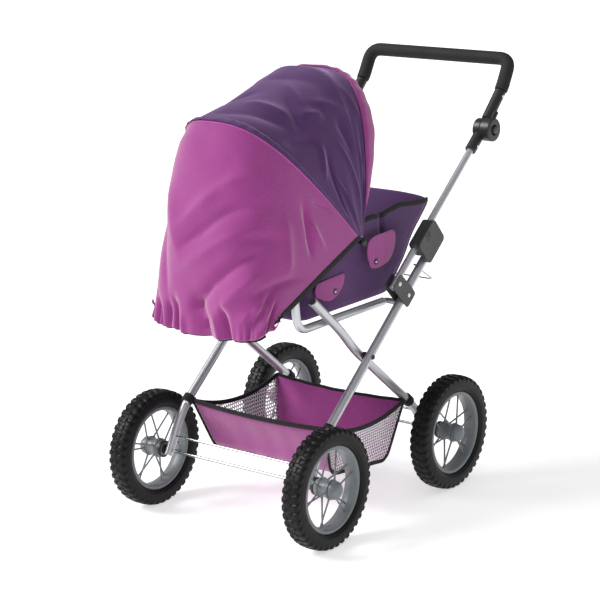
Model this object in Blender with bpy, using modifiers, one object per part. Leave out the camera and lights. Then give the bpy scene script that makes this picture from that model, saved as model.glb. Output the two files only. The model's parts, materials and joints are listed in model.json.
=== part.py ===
"""Doll stroller with a folding X frame, ratchet handle, folding hood, seat tub and basket.

Metres, +Z up, -Y is the head end under the hood, +Y is the pushing end, +X is the right side.
The origin is on the ground under the middle of the overall length.
Side-view places below are written as (y, z), with y counted from the middle of the wheelbase.
"""
import math

import bmesh
import bpy
from mathutils import Matrix, Vector

# ---- driving dimensions ----
WHEEL_RADIUS = 0.100
WHEELBASE = 0.3526
TRACK = 0.3684
MIDDLE_Y = 0.07875         # from the middle of the wheelbase to the middle of the overall length
GAP = 0.0004               # clearance between pieces that touch

TYRE_HALF_WIDTH = 0.018
TREAD_HALF_WIDTH = 0.010
RIM_RADIUS = 0.072
RIM_INNER_RADIUS = 0.0635
RIM_HALF_WIDTH = 0.0130
HUB_OUTER = 0.0120         # hub ends, along the axle from the wheel's middle plane
HUB_INNER = -0.0225
HUB_CAP_END = 0.0270
FLANGE_RADIUS = 0.017
FLANGE_X = 0.0100
SPOKES = 12
SPOKE_RADIUS = 0.0016
AXLE_RADIUS = 0.0025
STAY_RADIUS = 0.0020
AXLE_BORE = 0.0029
WHEEL_STEPS = 32
RIM_STEPS = 24
HUB_STEPS = 12

FRAME_RADIUS = 0.0075      # chassis tubes and rear legs
CHASSIS_X = 0.150          # chassis and handle tubes lie in one plane
LEG_X = 0.130              # rear legs run inside the chassis tubes
HANDLE_RADIUS = 0.006
RAIL_X = 0.112
RAIL_RADIUS = 0.007
INSERT_RADIUS = 0.005
TUBE_SIDES = 10

AXLE_HALF_BASE = WHEELBASE / 2
FRONT_AXLE = (-AXLE_HALF_BASE, WHEEL_RADIUS)
REAR_AXLE = (AXLE_HALF_BASE, WHEEL_RADIUS)
FRONT_STAY = (-0.1640, 0.1225)
REAR_STAY = (0.1540, 0.1350)
CROSSING = (-0.0095, 0.2740)      # pivot of the X frame
CHASSIS_BEND = (-0.1400, 0.1655)
CHASSIS_TOP = (0.1560, 0.4118)
LEG_TOP = (-0.1350, 0.3920)
LEG_BENDS = ((-0.0600, 0.3260), (-0.0240, 0.2860), (0.1500, 0.1420))

HANDLE_PIVOT = (0.0660, 0.3830)   # rivet that the handle tubes fold about
BRACKET_RIVET = (0.0920, 0.3586)  # rivet that holds the bracket on the chassis tube
HANDLE_ANGLE = math.radians(39.8)
HINGE_REACH = 0.3470              # from the handle pivot to the ratchet hinge
RIVET_BORE = 0.0026
RIVET_RADIUS = 0.0022
PLATE_OUTER = 0.0020              # bracket plate outside the tubes
PLATE_INNER = 0.0018              # and the thinner one inside them
BRACKET_OUTLINE = (               # (along the handle tube, lift square to it)
    (-0.0170, 0.0100), (0.0130, 0.0110), (0.0190, -0.0290), (0.0190, -0.0495), (-0.0130, -0.0495))
BRACKET_WEB = ((-0.0060, -0.0489), (0.0120, -0.0489), (0.0120, -0.0467), (-0.0060, -0.0467))
HANDLE_START = -0.0120
HANDLE_TUBE_END = 0.3150
SOCKET_START = 0.2960
SOCKET_RADIUS = 0.0100
SOCKET_BORE = 0.0066
BARREL_RADIUS = 0.0185
BARREL_X = (0.1405, 0.1555)
DISC_RADIUS = 0.0205
DISC_X = (0.1560, 0.1750)
RECESS_RADIUS = 0.0088
BUTTON_RADIUS = 0.0068
BUTTON_X = (0.1690, 0.1790)

GRIP_START = (0.3915, 0.6645)
GRIP_ELBOW = (0.3985, 0.6735)
BAR_CORNER = (0.4220, 0.7165)
BAR_RADIUS = 0.0072
GRIP_RADIUS = 0.0118
BAR_CORNER_RADIUS = 0.045

SLIDER_MIDDLE = 0.1025            # along the handle tube from its pivot
SLIDER_LENGTH = 0.0600
SLIDER_X = (0.1405, 0.1586)
CHEEK_X = (0.1590, 0.1665)
CHEEK_LIFT = (-0.0365, 0.0140)
BAIL_PIVOT = (0.1370, 0.4000)
BAIL_BAR = (0.1960, 0.3620)
BAIL_X = 0.1392
BAIL_RADIUS = 0.0013

HOOD_PIVOT = (0.0160, 0.4590)
HOOD_HALF_WIDTH = 0.1210
HOOD_CLOTH = 0.0012
FRONT_BOW = {"reach": 0.2800, "lean": math.radians(-8.5), "power": 2.95, "half": 0.1175}
MID_BOW = {"reach": 0.2840, "lean": math.radians(1.0), "power": 2.75, "half": 0.1139}
SEAM_BOW = {"reach": 0.3215, "lean": math.radians(45.5), "power": 2.78, "half": 0.1103}
BOW_RADIUS = 0.0016
BOW_INSET = 0.0034
BOW_FOOT = 0.0085
ARCH_STEPS = 16

TUB_HALF_WIDTH = 0.108
TUB_WALL = 0.002
BASKET_HALF_WIDTH = 0.1205
BASKET_WALL = 0.0016


def at(x, place):
    """The point at side x and side-view place (y, z)."""
    return Vector((x, place[0] - MIDDLE_Y, place[1]))


def along_handle(distance, lift=0.0):
    """Side-view place at a distance up the handle tube, lifted square to it."""
    y = HANDLE_PIVOT[0] + distance * math.cos(HANDLE_ANGLE) - lift * math.sin(HANDLE_ANGLE)
    z = HANDLE_PIVOT[1] + distance * math.sin(HANDLE_ANGLE) + lift * math.cos(HANDLE_ANGLE)
    return (y, z)


# ---- scene, materials and mesh helpers ----
for old in list(bpy.data.objects):
    bpy.data.objects.remove(old, do_unlink=True)

parts = bpy.data.collections.new("doll_stroller")
cutters = bpy.data.collections.new("cutters")
bpy.context.scene.collection.children.link(parts)
bpy.context.scene.collection.children.link(cutters)


def material(name, colour, roughness, metallic=0.0):
    made = bpy.data.materials.new(name)
    made.use_nodes = True
    shader = made.node_tree.nodes["Principled BSDF"]
    shader.inputs["Base Color"].default_value = (*colour, 1.0)
    shader.inputs["Roughness"].default_value = roughness
    shader.inputs["Metallic"].default_value = metallic
    return made


SILVER = material("silver_tube", (0.62, 0.63, 0.66), 0.32, 0.9)
STEEL = material("plated_steel", (0.70, 0.70, 0.72), 0.25, 1.0)
BLACK = material("black_plastic", (0.030, 0.030, 0.034), 0.45)
GREY = material("grey_plastic", (0.42, 0.44, 0.46), 0.42)
RUBBER = material("tyre_rubber", (0.022, 0.022, 0.022), 0.80)
FOAM = material("grip_foam", (0.028, 0.028, 0.030), 0.90)
PURPLE = material("purple_cloth", (0.090, 0.030, 0.120), 0.85)
PINK = material("pink_cloth", (0.420, 0.045, 0.330), 0.85)


def keep(name, mesh, finish):
    """A named object in the parts collection, shaded smooth with sharp creases."""
    mesh.shade_smooth()
    mesh.set_sharp_from_angle(angle=math.radians(35))
    mesh.materials.clear()
    mesh.materials.append(finish)
    made = bpy.data.objects.new(name, mesh)
    parts.objects.link(made)
    return made


def evaluated(source):
    """The welded mesh of an object as the viewport shows it; the object is removed."""
    bpy.context.view_layer.update()
    graph = bpy.context.evaluated_depsgraph_get()
    mesh = bpy.data.meshes.new_from_object(source.evaluated_get(graph))
    mesh.transform(source.matrix_world)
    bpy.data.objects.remove(source, do_unlink=True)
    work = bmesh.new()
    work.from_mesh(mesh)
    bmesh.ops.remove_doubles(work, verts=work.verts, dist=0.00002)
    work.to_mesh(mesh)
    work.free()
    return mesh


def bent(corners, radius, step=math.radians(20)):
    """A path through corner points with each bend rounded to an arc of the radius."""
    path = [corners[0]]
    for before, corner, after in zip(corners, corners[1:], corners[2:]):
        into = (corner - before).normalized()
        out = (after - corner).normalized()
        turn = into.angle(out)
        room = 0.49 * min((corner - before).length, (after - corner).length)
        reach = min(radius * math.tan(turn / 2), room)
        start = corner - into * reach
        end = corner + out * reach
        steps = max(2, math.ceil(turn / step))
        for index in range(steps + 1):
            t = index / steps
            path.append(start * (1 - t) ** 2 + corner * 2 * t * (1 - t) + end * t ** 2)
    path.append(corners[-1])
    return path


def tube_mesh(path, radius, wall=0.0, sides=TUBE_SIDES):
    """A round tube along a path: capped where wall is 0, else hollow with open ends."""
    curve = bpy.data.curves.new("path", "CURVE")
    curve.dimensions = "3D"
    curve.bevel_depth = radius
    curve.bevel_resolution = sides // 2 - 2
    curve.use_fill_caps = wall == 0.0
    curve.render_resolution_u = 0
    spline = curve.splines.new("POLY")
    spline.points.add(len(path) - 1)
    for point, place in zip(spline.points, path):
        point.co = (*place, 1.0)
    source = bpy.data.objects.new("path", curve)
    parts.objects.link(source)
    mesh = evaluated(source)
    bpy.data.curves.remove(curve)
    if wall:
        mesh = thicken(mesh, wall)
    return mesh


def thicken(mesh, wall):
    """Gives an open surface a wall on its inner side."""
    source = bpy.data.objects.new("shell", mesh)
    parts.objects.link(source)
    solid = source.modifiers.new("wall", "SOLIDIFY")
    solid.thickness = wall
    solid.offset = -1.0
    solid.use_even_offset = True
    return evaluated(source)


def turned_mesh(profile, steps, closed=False):
    """A profile of (radius, x) points turned about the X axis; a closed one makes a ring."""
    mesh = bpy.data.meshes.new("profile")
    points = [(radius, 0.0, x) for radius, x in profile]
    edges = [(index, index + 1) for index in range(len(points) - 1)]
    if closed:
        edges.append((len(points) - 1, 0))
    mesh.from_pydata(points, edges, [])
    source = bpy.data.objects.new("profile", mesh)
    parts.objects.link(source)
    screw = source.modifiers.new("turn", "SCREW")
    screw.steps = steps
    screw.render_steps = steps
    screw.use_merge_vertices = True
    screw.merge_threshold = 0.00001
    source.rotation_euler = (0.0, math.pi / 2, 0.0)
    made = evaluated(source)
    face_outward(made)
    made.transform(Matrix.Rotation(math.pi / steps, 4, "X"))
    return made


def face_outward(mesh):
    work = bmesh.new()
    work.from_mesh(mesh)
    bmesh.ops.recalc_face_normals(work, faces=work.faces)
    work.to_mesh(mesh)
    work.free()


def cylinder_mesh(start, end, radius, sides=16):
    return tube_mesh([Vector(start), Vector(end)], radius, sides=sides)


def box_mesh(low, high, bevel=0.0):
    work = bmesh.new()
    bmesh.ops.create_cube(work, size=1.0)
    size = Vector(high) - Vector(low)
    middle = (Vector(high) + Vector(low)) / 2
    bmesh.ops.scale(work, vec=size, verts=work.verts)
    bmesh.ops.translate(work, vec=middle, verts=work.verts)
    if bevel:
        bmesh.ops.bevel(work, geom=work.edges, offset=bevel, segments=2, affect="EDGES", profile=0.5)
    mesh = bpy.data.meshes.new("box")
    work.to_mesh(mesh)
    work.free()
    return mesh


def combine(mesh, others, how="UNION"):
    """Joins or cuts a mesh with others, one exact Boolean after another."""
    source = bpy.data.objects.new("work", mesh)
    parts.objects.link(source)
    helpers = []
    for other in others:
        helper = bpy.data.objects.new("cutter", other)
        helper.hide_render = True
        helper.display_type = "WIRE"
        cutters.objects.link(helper)
        helpers.append(helper)
        step = source.modifiers.new(how.lower(), "BOOLEAN")
        step.operation = how
        step.solver = "EXACT"
        step.object = helper
    made = evaluated(source)
    for helper in helpers:
        bpy.data.objects.remove(helper, do_unlink=True)
    return made


def drill(mesh, place, radius, x_from, x_to):
    """Cuts a hole along X at a side-view place."""
    hole = cylinder_mesh(at(x_from, place), at(x_to, place), radius, sides=12)
    return combine(mesh, [hole], "DIFFERENCE")


def mirrored(mesh):
    """The same mesh reflected to the other side of the stroller, still facing outward."""
    other = mesh.copy()
    other.transform(Matrix.Scale(-1.0, 4, (1.0, 0.0, 0.0)))
    other.flip_normals()
    return other


def pair(name, mesh, finish):
    """A right-hand piece and its mirror image on the left."""
    keep(name + "_left", mirrored(mesh), finish)
    keep(name + "_right", mesh, finish)


def pin_mesh(place, sections):
    """A turned pin along X through a side-view place, from (radius, x) corner points."""
    mesh = turned_mesh(sections, 12)
    offset = at(0.0, place)
    mesh.transform(Matrix.Translation(offset))
    return mesh


# ---- wheels ----
def tyre_mesh():
    grow = 1.0 / math.cos(math.pi / WHEEL_STEPS)
    half = [
        (WHEEL_RADIUS, TREAD_HALF_WIDTH),
        (WHEEL_RADIUS - 0.0045, 0.0158),
        (0.0865, TYRE_HALF_WIDTH),
        (RIM_RADIUS + 0.0008, RIM_HALF_WIDTH + 0.0012),
    ]
    right = [(radius * grow, x) for radius, x in half]
    left = [(radius, -x) for radius, x in reversed(right)]
    return turned_mesh(right + left, WHEEL_STEPS, closed=True)


def rim_mesh():
    """Rim, hub and crossed spokes moulded as one piece."""
    ring = [
        (RIM_RADIUS, RIM_HALF_WIDTH), (RIM_RADIUS, -RIM_HALF_WIDTH),
        (RIM_RADIUS - 0.0060, -RIM_HALF_WIDTH), (RIM_INNER_RADIUS, -RIM_HALF_WIDTH / 2),
        (RIM_INNER_RADIUS, RIM_HALF_WIDTH / 2), (RIM_RADIUS - 0.0060, RIM_HALF_WIDTH),
    ]
    hub = [
        (AXLE_BORE, HUB_OUTER), (FLANGE_RADIUS, HUB_OUTER), (FLANGE_RADIUS, 0.0080),
        (0.0110, 0.0055), (0.0110, -0.0055), (FLANGE_RADIUS, -0.0080),
        (FLANGE_RADIUS, -HUB_OUTER), (0.0100, -0.0145), (0.0100, HUB_INNER), (AXLE_BORE, HUB_INNER),
    ]
    spokes = []
    for index in range(SPOKES):
        side = 1 if index % 2 == 0 else -1
        angle = 2 * math.pi * index / SPOKES
        lean = angle + side * math.radians(9)
        start = Vector((side * FLANGE_X, 0.0135 * math.cos(angle), 0.0135 * math.sin(angle)))
        reach = RIM_RADIUS - 0.0040
        end = Vector((side * 0.0030, reach * math.cos(lean), reach * math.sin(lean)))
        spokes.append(cylinder_mesh(start, end, SPOKE_RADIUS, sides=6))
    body = turned_mesh(hub, HUB_STEPS, closed=True)
    return combine(body, [turned_mesh(ring, RIM_STEPS, closed=True), joined(spokes)])


def joined(meshes):
    """Several separate shells in one mesh."""
    work = bmesh.new()
    for mesh in meshes:
        work.from_mesh(mesh)
    made = bpy.data.meshes.new("joined")
    work.to_mesh(made)
    work.free()
    return made


def hub_cap_mesh():
    outer = 0.0150
    inner = 0.0125
    start = HUB_OUTER + GAP
    dome = [(outer, start), (outer, 0.0185), (0.0128, 0.0235), (0.0078, 0.0262), (0.0, HUB_CAP_END)]
    hollow = [(0.0, 0.0225), (0.0080, 0.0222), (inner, 0.0180), (inner, start)]
    return turned_mesh(list(reversed(dome)) + list(reversed(hollow)), 14)


def add_wheels():
    tyre = tyre_mesh()
    rim = rim_mesh()
    cap = hub_cap_mesh()
    for end, axle, tube_face in (("front", FRONT_AXLE, CHASSIS_X), ("rear", REAR_AXLE, LEG_X)):
        spacer_from = tube_face + FRAME_RADIUS + GAP
        spacer_to = TRACK / 2 + HUB_INNER - GAP
        spacer = turned_mesh([
            (AXLE_BORE, spacer_from), (0.0085, spacer_from),
            (0.0085, spacer_to), (AXLE_BORE, spacer_to)], HUB_STEPS, closed=True)
        for side, turn in (("right", 0.0), ("left", math.pi)):
            reach = TRACK / 2 if side == "right" else -TRACK / 2
            for name, mesh, finish in (("tyre", tyre, RUBBER), ("rim", rim, GREY), ("hub_cap", cap, GREY)):
                piece = keep(f"{name}_{end}_{side}", mesh, finish)
                piece.location = at(reach, axle)
                piece.rotation_euler = (0.0, 0.0, turn)
            piece = keep(f"axle_spacer_{end}_{side}", spacer, BLACK)
            piece.location = at(0.0, axle)
            piece.rotation_euler = (0.0, 0.0, turn)


# ---- frame ----
def add_axles():
    reach = TRACK / 2 + 0.0190
    for end, axle, stay, stay_x in (
            ("front", FRONT_AXLE, FRONT_STAY, CHASSIS_X), ("rear", REAR_AXLE, REAR_STAY, LEG_X)):
        keep(f"axle_{end}", cylinder_mesh(at(-reach, axle), at(reach, axle), AXLE_RADIUS, 12), STEEL)
        edge = stay_x + FRAME_RADIUS - 0.0010
        keep(f"stay_rod_{end}", cylinder_mesh(at(-edge, stay), at(edge, stay), STAY_RADIUS, 10), STEEL)


def past(start, end, extra):
    """The point a little beyond end, seen from start."""
    return end + (end - start).normalized() * extra


def add_chassis_tubes():
    low = at(CHASSIS_X, FRONT_AXLE)
    bend = at(CHASSIS_X, CHASSIS_BEND)
    path = bent([past(bend, low, 0.0090), bend, at(CHASSIS_X, CHASSIS_TOP)], 0.060)
    mesh = tube_mesh(path, FRAME_RADIUS)
    inner = CHASSIS_X - 0.010
    outer = CHASSIS_X + 0.010
    mesh = drill(mesh, FRONT_AXLE, AXLE_BORE, inner, outer)
    mesh = drill(mesh, FRONT_STAY, STAY_RADIUS + GAP, inner, outer)
    mesh = drill(mesh, CROSSING, RIVET_BORE, inner, outer)
    mesh = drill(mesh, BRACKET_RIVET, RIVET_BORE, inner, outer)
    pair("chassis_tube", mesh, SILVER)


def add_rear_legs():
    points = [at(LEG_X, LEG_TOP)] + [at(LEG_X, bend) for bend in LEG_BENDS]
    points.append(past(points[-1], at(LEG_X, REAR_AXLE), 0.0090))
    path = bent(points, 0.070)
    mesh = tube_mesh(path, FRAME_RADIUS)
    inner = LEG_X - 0.010
    outer = LEG_X + 0.010
    mesh = drill(mesh, REAR_AXLE, AXLE_BORE, inner, outer)
    mesh = drill(mesh, REAR_STAY, STAY_RADIUS + GAP, inner, outer)
    mesh = drill(mesh, CROSSING, RIVET_BORE, inner, outer)
    pair("rear_leg", mesh, SILVER)
    top = at(LEG_X, LEG_TOP)
    away = (top - points[1]).normalized()
    cap = tube_mesh([top + away * GAP, top + away * 0.0014, top + away * 0.0022], FRAME_RADIUS * 0.92)
    pair("leg_end_cap", cap, BLACK)


def add_crossing_pins():
    """Rivet, washer and spacer that the two tubes of each side turn on."""
    inner = LEG_X - FRAME_RADIUS - GAP
    outer = CHASSIS_X + FRAME_RADIUS + GAP
    spacer_in = LEG_X + FRAME_RADIUS + GAP
    spacer_out = CHASSIS_X - FRAME_RADIUS - GAP
    shaft = 0.0022
    sections = [
        (0.0, inner - 0.0012), (0.0042, inner - 0.0010), (0.0042, inner), (shaft, inner),
        (shaft, spacer_in), (0.0065, spacer_in), (0.0065, spacer_out), (shaft, spacer_out),
        (shaft, outer), (0.0042, outer), (0.0036, outer + 0.0012), (0.0, outer + 0.0016),
    ]
    pair("crossing_pin", pin_mesh(CROSSING, sections), BLACK)


def add_handle_tubes():
    path = [at(CHASSIS_X, along_handle(HANDLE_START)), at(CHASSIS_X, along_handle(HANDLE_TUBE_END))]
    mesh = tube_mesh(path, HANDLE_RADIUS)
    mesh = drill(mesh, HANDLE_PIVOT, RIVET_BORE, CHASSIS_X - 0.010, CHASSIS_X + 0.010)
    pair("handle_tube", mesh, SILVER)


def side_plate(places, x_from, x_to):
    """A flat plate between two sides, from its side-view outline."""
    curve = bpy.data.curves.new("outline", "CURVE")
    curve.dimensions = "2D"
    curve.fill_mode = "BOTH"
    curve.extrude = abs(x_to - x_from) / 2
    curve.render_resolution_u = 0
    spline = curve.splines.new("POLY")
    spline.use_cyclic_u = True
    spline.points.add(len(places) - 1)
    for point, (y, z) in zip(spline.points, places):
        point.co = (y - MIDDLE_Y, z, 0.0, 1.0)
    source = bpy.data.objects.new("outline", curve)
    parts.objects.link(source)
    source.matrix_world = Matrix.Translation(((x_from + x_to) / 2, 0.0, 0.0)) @ Matrix((
        (0, 0, 1, 0), (1, 0, 0, 0), (0, 1, 0, 0), (0, 0, 0, 1)))
    mesh = evaluated(source)
    bpy.data.curves.remove(curve)
    face_outward(mesh)
    return mesh


def rounded_outline(corners, radius):
    """A closed outline with its corners rounded."""
    flat = [Vector((y, z)) for y, z in corners]
    outline = []
    for index, corner in enumerate(flat):
        before = (flat[index - 1] - corner).normalized()
        after = (flat[(index + 1) % len(flat)] - corner).normalized()
        start = corner + before * radius
        end = corner + after * radius
        for step in range(3):
            t = step / 2
            outline.append(start * (1 - t) ** 2 + corner * 2 * t * (1 - t) + end * t ** 2)
    return [(point.x, point.y) for point in outline]


def add_brackets():
    """Folded plates that hold the handle tube's pivot beside the chassis tube."""
    outline = rounded_outline([along_handle(along, lift) for along, lift in BRACKET_OUTLINE], 0.006)
    outer_x = CHASSIS_X + FRAME_RADIUS + GAP
    inner_x = CHASSIS_X - FRAME_RADIUS - GAP
    plates = [
        side_plate(outline, outer_x, outer_x + PLATE_OUTER),
        side_plate(outline, inner_x - PLATE_INNER, inner_x)]
    web = [along_handle(along, lift) for along, lift in BRACKET_WEB]
    bridge = side_plate(web, inner_x - 0.0010, outer_x + 0.0010)
    mesh = combine(plates[0], [plates[1], bridge])
    mesh = drill(mesh, HANDLE_PIVOT, RIVET_BORE, inner_x - 0.010, outer_x + 0.010)
    rivet = pin_mesh(BRACKET_RIVET, [
        (0.0, inner_x - 0.0026), (RIVET_RADIUS, inner_x - 0.0026), (RIVET_RADIUS, outer_x + 0.0010),
        (0.0040, outer_x + 0.0010), (0.0036, outer_x + 0.0032), (0.0, outer_x + 0.0036)])
    pair("bracket", combine(mesh, [rivet]), BLACK)
    far = outer_x + PLATE_OUTER + GAP
    near = inner_x - PLATE_INNER - GAP
    pin = [
        (0.0, near - 0.0010), (0.0038, near - 0.0008), (0.0038, near), (0.0022, near),
        (0.0022, far), (0.0040, far), (0.0034, far + 0.0012), (0.0, far + 0.0015),
    ]
    pair("handle_pivot_pin", pin_mesh(HANDLE_PIVOT, pin), STEEL)


def handle_frame_matrix(along):
    """Axes on the handle tube: X across, Y up the tube, Z square to it."""
    y, z = along_handle(along)
    turn = Matrix.Rotation(HANDLE_ANGLE, 4, "X")
    return Matrix.Translation((0.0, y - MIDDLE_Y, z)) @ turn


def add_sliders():
    """Lock blocks round the handle tubes, each with a cheek beside the chassis tube's end."""
    half = SLIDER_LENGTH / 2
    place = handle_frame_matrix(SLIDER_MIDDLE)
    body = box_mesh((SLIDER_X[0], -half, -0.0190), (SLIDER_X[1], half, 0.0120), 0.0040)
    bore = cylinder_mesh((CHASSIS_X, -0.1, 0.0), (CHASSIS_X, 0.1, 0.0), SOCKET_BORE, 16)
    body = combine(body, [bore], "DIFFERENCE")
    cheek = box_mesh((CHEEK_X[0], -half, CHEEK_LIFT[0]), (CHEEK_X[1], half, CHEEK_LIFT[1]), 0.0030)
    for name, mesh in (("lock_slider", body), ("lock_cheek", cheek)):
        mesh.transform(place)
        pair(name, mesh, BLACK)


def add_bail():
    corner = 0.010
    end_x = CHASSIS_X - FRAME_RADIUS - GAP
    low = [at(-end_x, BAIL_PIVOT), at(-BAIL_X + 0.0015, BAIL_PIVOT), at(-BAIL_X + 0.0015, BAIL_BAR)]
    path = low + [Vector((-point.x, point.y, point.z)) for point in reversed(low)]
    keep("lock_bail", tube_mesh(bent(path, corner, math.radians(30)), BAIL_RADIUS, sides=8), STEEL)


# ---- handle ----
def hinge_place():
    return along_handle(HINGE_REACH)


def add_handle_hinges():
    hub = hinge_place()
    arm = at(CHASSIS_X, along_handle(SOCKET_START))
    barrel = cylinder_mesh(at(BARREL_X[0], hub), at(BARREL_X[1], hub), BARREL_RADIUS, 24)
    lower = combine(barrel, [cylinder_mesh(arm, at(CHASSIS_X, hub), SOCKET_RADIUS, 16)])
    face = box_mesh(
        at(BARREL_X[1], (hub[0] - 0.03, hub[1] - 0.03)),
        at(BARREL_X[1] + 0.02, (hub[0] + 0.03, hub[1] + 0.03)))
    lower = combine(lower, [face], "DIFFERENCE")
    bore_end = at(CHASSIS_X, along_handle(HANDLE_TUBE_END + 0.0010))
    bore_start = at(CHASSIS_X, along_handle(SOCKET_START - 0.0100))
    lower = combine(lower, [cylinder_mesh(bore_start, bore_end, SOCKET_BORE, 12)], "DIFFERENCE")
    pair("hinge_socket_lower", lower, BLACK)

    top = at(CHASSIS_X, GRIP_START)
    centre = at(CHASSIS_X, hub)
    out = (top - centre).normalized()
    disc = cylinder_mesh(at(DISC_X[0], hub), at(DISC_X[1], hub), DISC_RADIUS, 24)
    sleeve = cylinder_mesh(centre + out * (BARREL_RADIUS + 0.0010), top - out * 0.0020, SOCKET_RADIUS, 16)
    shift = Vector((DISC_X[0] + 0.0045 - CHASSIS_X, 0.0, 0.0))
    cheek = tube_mesh([centre + shift, centre + shift + out * 0.0380], 0.0045, sides=8)
    upper = combine(disc, [sleeve, cheek])
    recess = cylinder_mesh(at(BUTTON_X[0] - 0.0035, hub), at(DISC_X[1] + 0.01, hub), RECESS_RADIUS, 16)
    bar_bore = cylinder_mesh(top - out * 0.0240, top + out * 0.01, BAR_RADIUS + GAP, 12)
    upper = combine(upper, [recess, bar_bore], "DIFFERENCE")
    pair("hinge_socket_upper", upper, BLACK)

    button = pin_mesh(hub, [
        (0.0, BUTTON_X[0]), (BUTTON_RADIUS, BUTTON_X[0]), (BUTTON_RADIUS, BUTTON_X[1] - 0.0012),
        (BUTTON_RADIUS - 0.0012, BUTTON_X[1]), (0.0, BUTTON_X[1])])
    pair("hinge_button", button, BLACK)


def grip_path():
    """Up one arm, across with rounded corners, and down the other arm."""
    right = [at(CHASSIS_X, GRIP_START), at(CHASSIS_X, GRIP_ELBOW), at(CHASSIS_X, BAR_CORNER)]
    left = [Vector((-point.x, point.y, point.z)) for point in reversed(right)]
    return bent(right + left, BAR_CORNER_RADIUS)


def add_handle_bar():
    hub = at(CHASSIS_X, hinge_place())
    top = at(CHASSIS_X, GRIP_START)
    out = (top - hub).normalized()
    foot = top - out * 0.0220
    path = [foot] + grip_path() + [Vector((-foot.x, foot.y, foot.z))]
    keep("handle_bar_tube", tube_mesh(path, BAR_RADIUS), STEEL)
    keep("handle_grip", tube_mesh(grip_path(), GRIP_RADIUS, GRIP_RADIUS - BAR_RADIUS - 2 * GAP), FOAM)


# ---- seat ----
def add_seat_frame():
    """U-shaped rail under the seat tub that turns up behind the head end."""
    right = [at(RAIL_X, (0.0830, 0.3430)), at(RAIL_X, (-0.1520, 0.3430)), at(RAIL_X, (-0.1600, 0.4320))]
    left = [Vector((-point.x, point.y, point.z)) for point in reversed(right)]
    keep("seat_rail", tube_mesh(bent(right + left, 0.030), RAIL_RADIUS), SILVER)
    start = (0.0830 + GAP, 0.3430)
    end = CHASSIS_X - FRAME_RADIUS - GAP - PLATE_INNER - GAP
    turn = (0.0925, start[1])
    path = [at(RAIL_X, start), at(RAIL_X, turn), at(end, turn)]
    pair("rail_insert", tube_mesh(bent(path, 0.008, math.radians(30)), INSERT_RADIUS, sides=10), SILVER)


def rounded_loop(half, y_from, y_to, corner, z_from, z_to):
    """A rounded rectangle of points whose height runs from z_from to z_to along Y."""
    points = []
    for sign_x, sign_y, start in ((1, 1, 0), (-1, 1, 90), (-1, -1, 180), (1, -1, 270)):
        y_edge = y_to if sign_y > 0 else y_from
        for step in range(4):
            angle = math.radians(start + 30 * step)
            x = sign_x * (half - corner) + corner * math.cos(angle)
            y = y_edge - sign_y * corner + corner * math.sin(angle)
            t = (y - y_from) / (y_to - y_from)
            points.append(at(x, (y, z_from + (z_to - z_from) * t)))
    return points


def tray_mesh(loops, wall):
    """An open tray from rounded loops, bottom first, with a closed floor."""
    count = len(loops[0])
    faces = []
    for level in range(len(loops) - 1):
        for index in range(count):
            after = (index + 1) % count
            a = level * count
            faces.append((a + index, a + after, a + count + after, a + count + index))
    faces.append(tuple(reversed(range(count))))
    mesh = bpy.data.meshes.new("tray")
    mesh.from_pydata([point for loop in loops for point in loop], [], faces)
    return thicken(mesh, wall)


def add_seat_tub():
    half = TUB_HALF_WIDTH
    loops = [
        rounded_loop(half - 0.006, -0.1280, 0.1150, 0.020, 0.3535, 0.3535),
        rounded_loop(half, -0.1360, 0.1270, 0.024, 0.3600, 0.3640),
        rounded_loop(half, -0.1400, 0.2380, 0.024, 0.4700, 0.4900),
    ]
    mesh = tray_mesh(loops, TUB_WALL)
    mesh = drill(mesh, HOOD_PIVOT, 0.0034, half - 0.010, half + 0.010)
    mesh = drill(mesh, HOOD_PIVOT, 0.0034, -half - 0.010, -half + 0.010)
    keep("seat_tub", mesh, PURPLE)
    low = at(-half + 0.012, (-0.1220, 0.3562))
    high = at(half - 0.012, (0.1080, 0.3740))
    keep("seat_mattress", box_mesh(low, high, 0.007), PURPLE)


# ---- hood ----
def bow_point(bow, half, reach, angle):
    """A point on a leaning superellipse arch; angle runs from 0 at the right foot to pi."""
    power = 2.0 / bow["power"]
    across = math.copysign(abs(math.cos(angle)) ** power, math.cos(angle))
    rise = reach * abs(math.sin(angle)) ** power
    y = HOOD_PIVOT[0] - rise * math.sin(bow["lean"])
    z = HOOD_PIVOT[1] + rise * math.cos(bow["lean"])
    return at(half * across, (y, z))


def arch_angles(start, steps):
    """Even steps over the arch, closer together near its feet."""
    feet = [start, start * 2.5, start * 6]
    middle = [math.pi * index / steps for index in range(1, steps)]
    rising = feet + [angle for angle in middle if feet[-1] * 1.3 < angle < math.pi - feet[-1] * 1.3]
    return rising + [math.pi - angle for angle in reversed(feet)]


def add_bows():
    bows = (("hood_bow_front", FRONT_BOW), ("hood_bow_middle", MID_BOW), ("hood_bow_seam", SEAM_BOW))
    for name, bow in bows:
        reach = bow["reach"] - BOW_INSET
        foot = (BOW_FOOT / reach) ** (bow["power"] / 2)
        path = [bow_point(bow, bow["half"], reach, angle) for angle in arch_angles(foot, ARCH_STEPS)]
        keep(name, tube_mesh(path, BOW_RADIUS, sides=6), STEEL)


def sheet_mesh(rows, wall):
    """A cloth shell lofted through rows of points."""
    count = len(rows[0])
    faces = []
    for level in range(len(rows) - 1):
        a = level * count
        for index in range(count - 1):
            faces.append((a + index, a + count + index, a + count + index + 1, a + index + 1))
    mesh = bpy.data.meshes.new("sheet")
    mesh.from_pydata([point for row in rows for point in row], [], faces)
    return thicken(mesh, wall)


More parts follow.
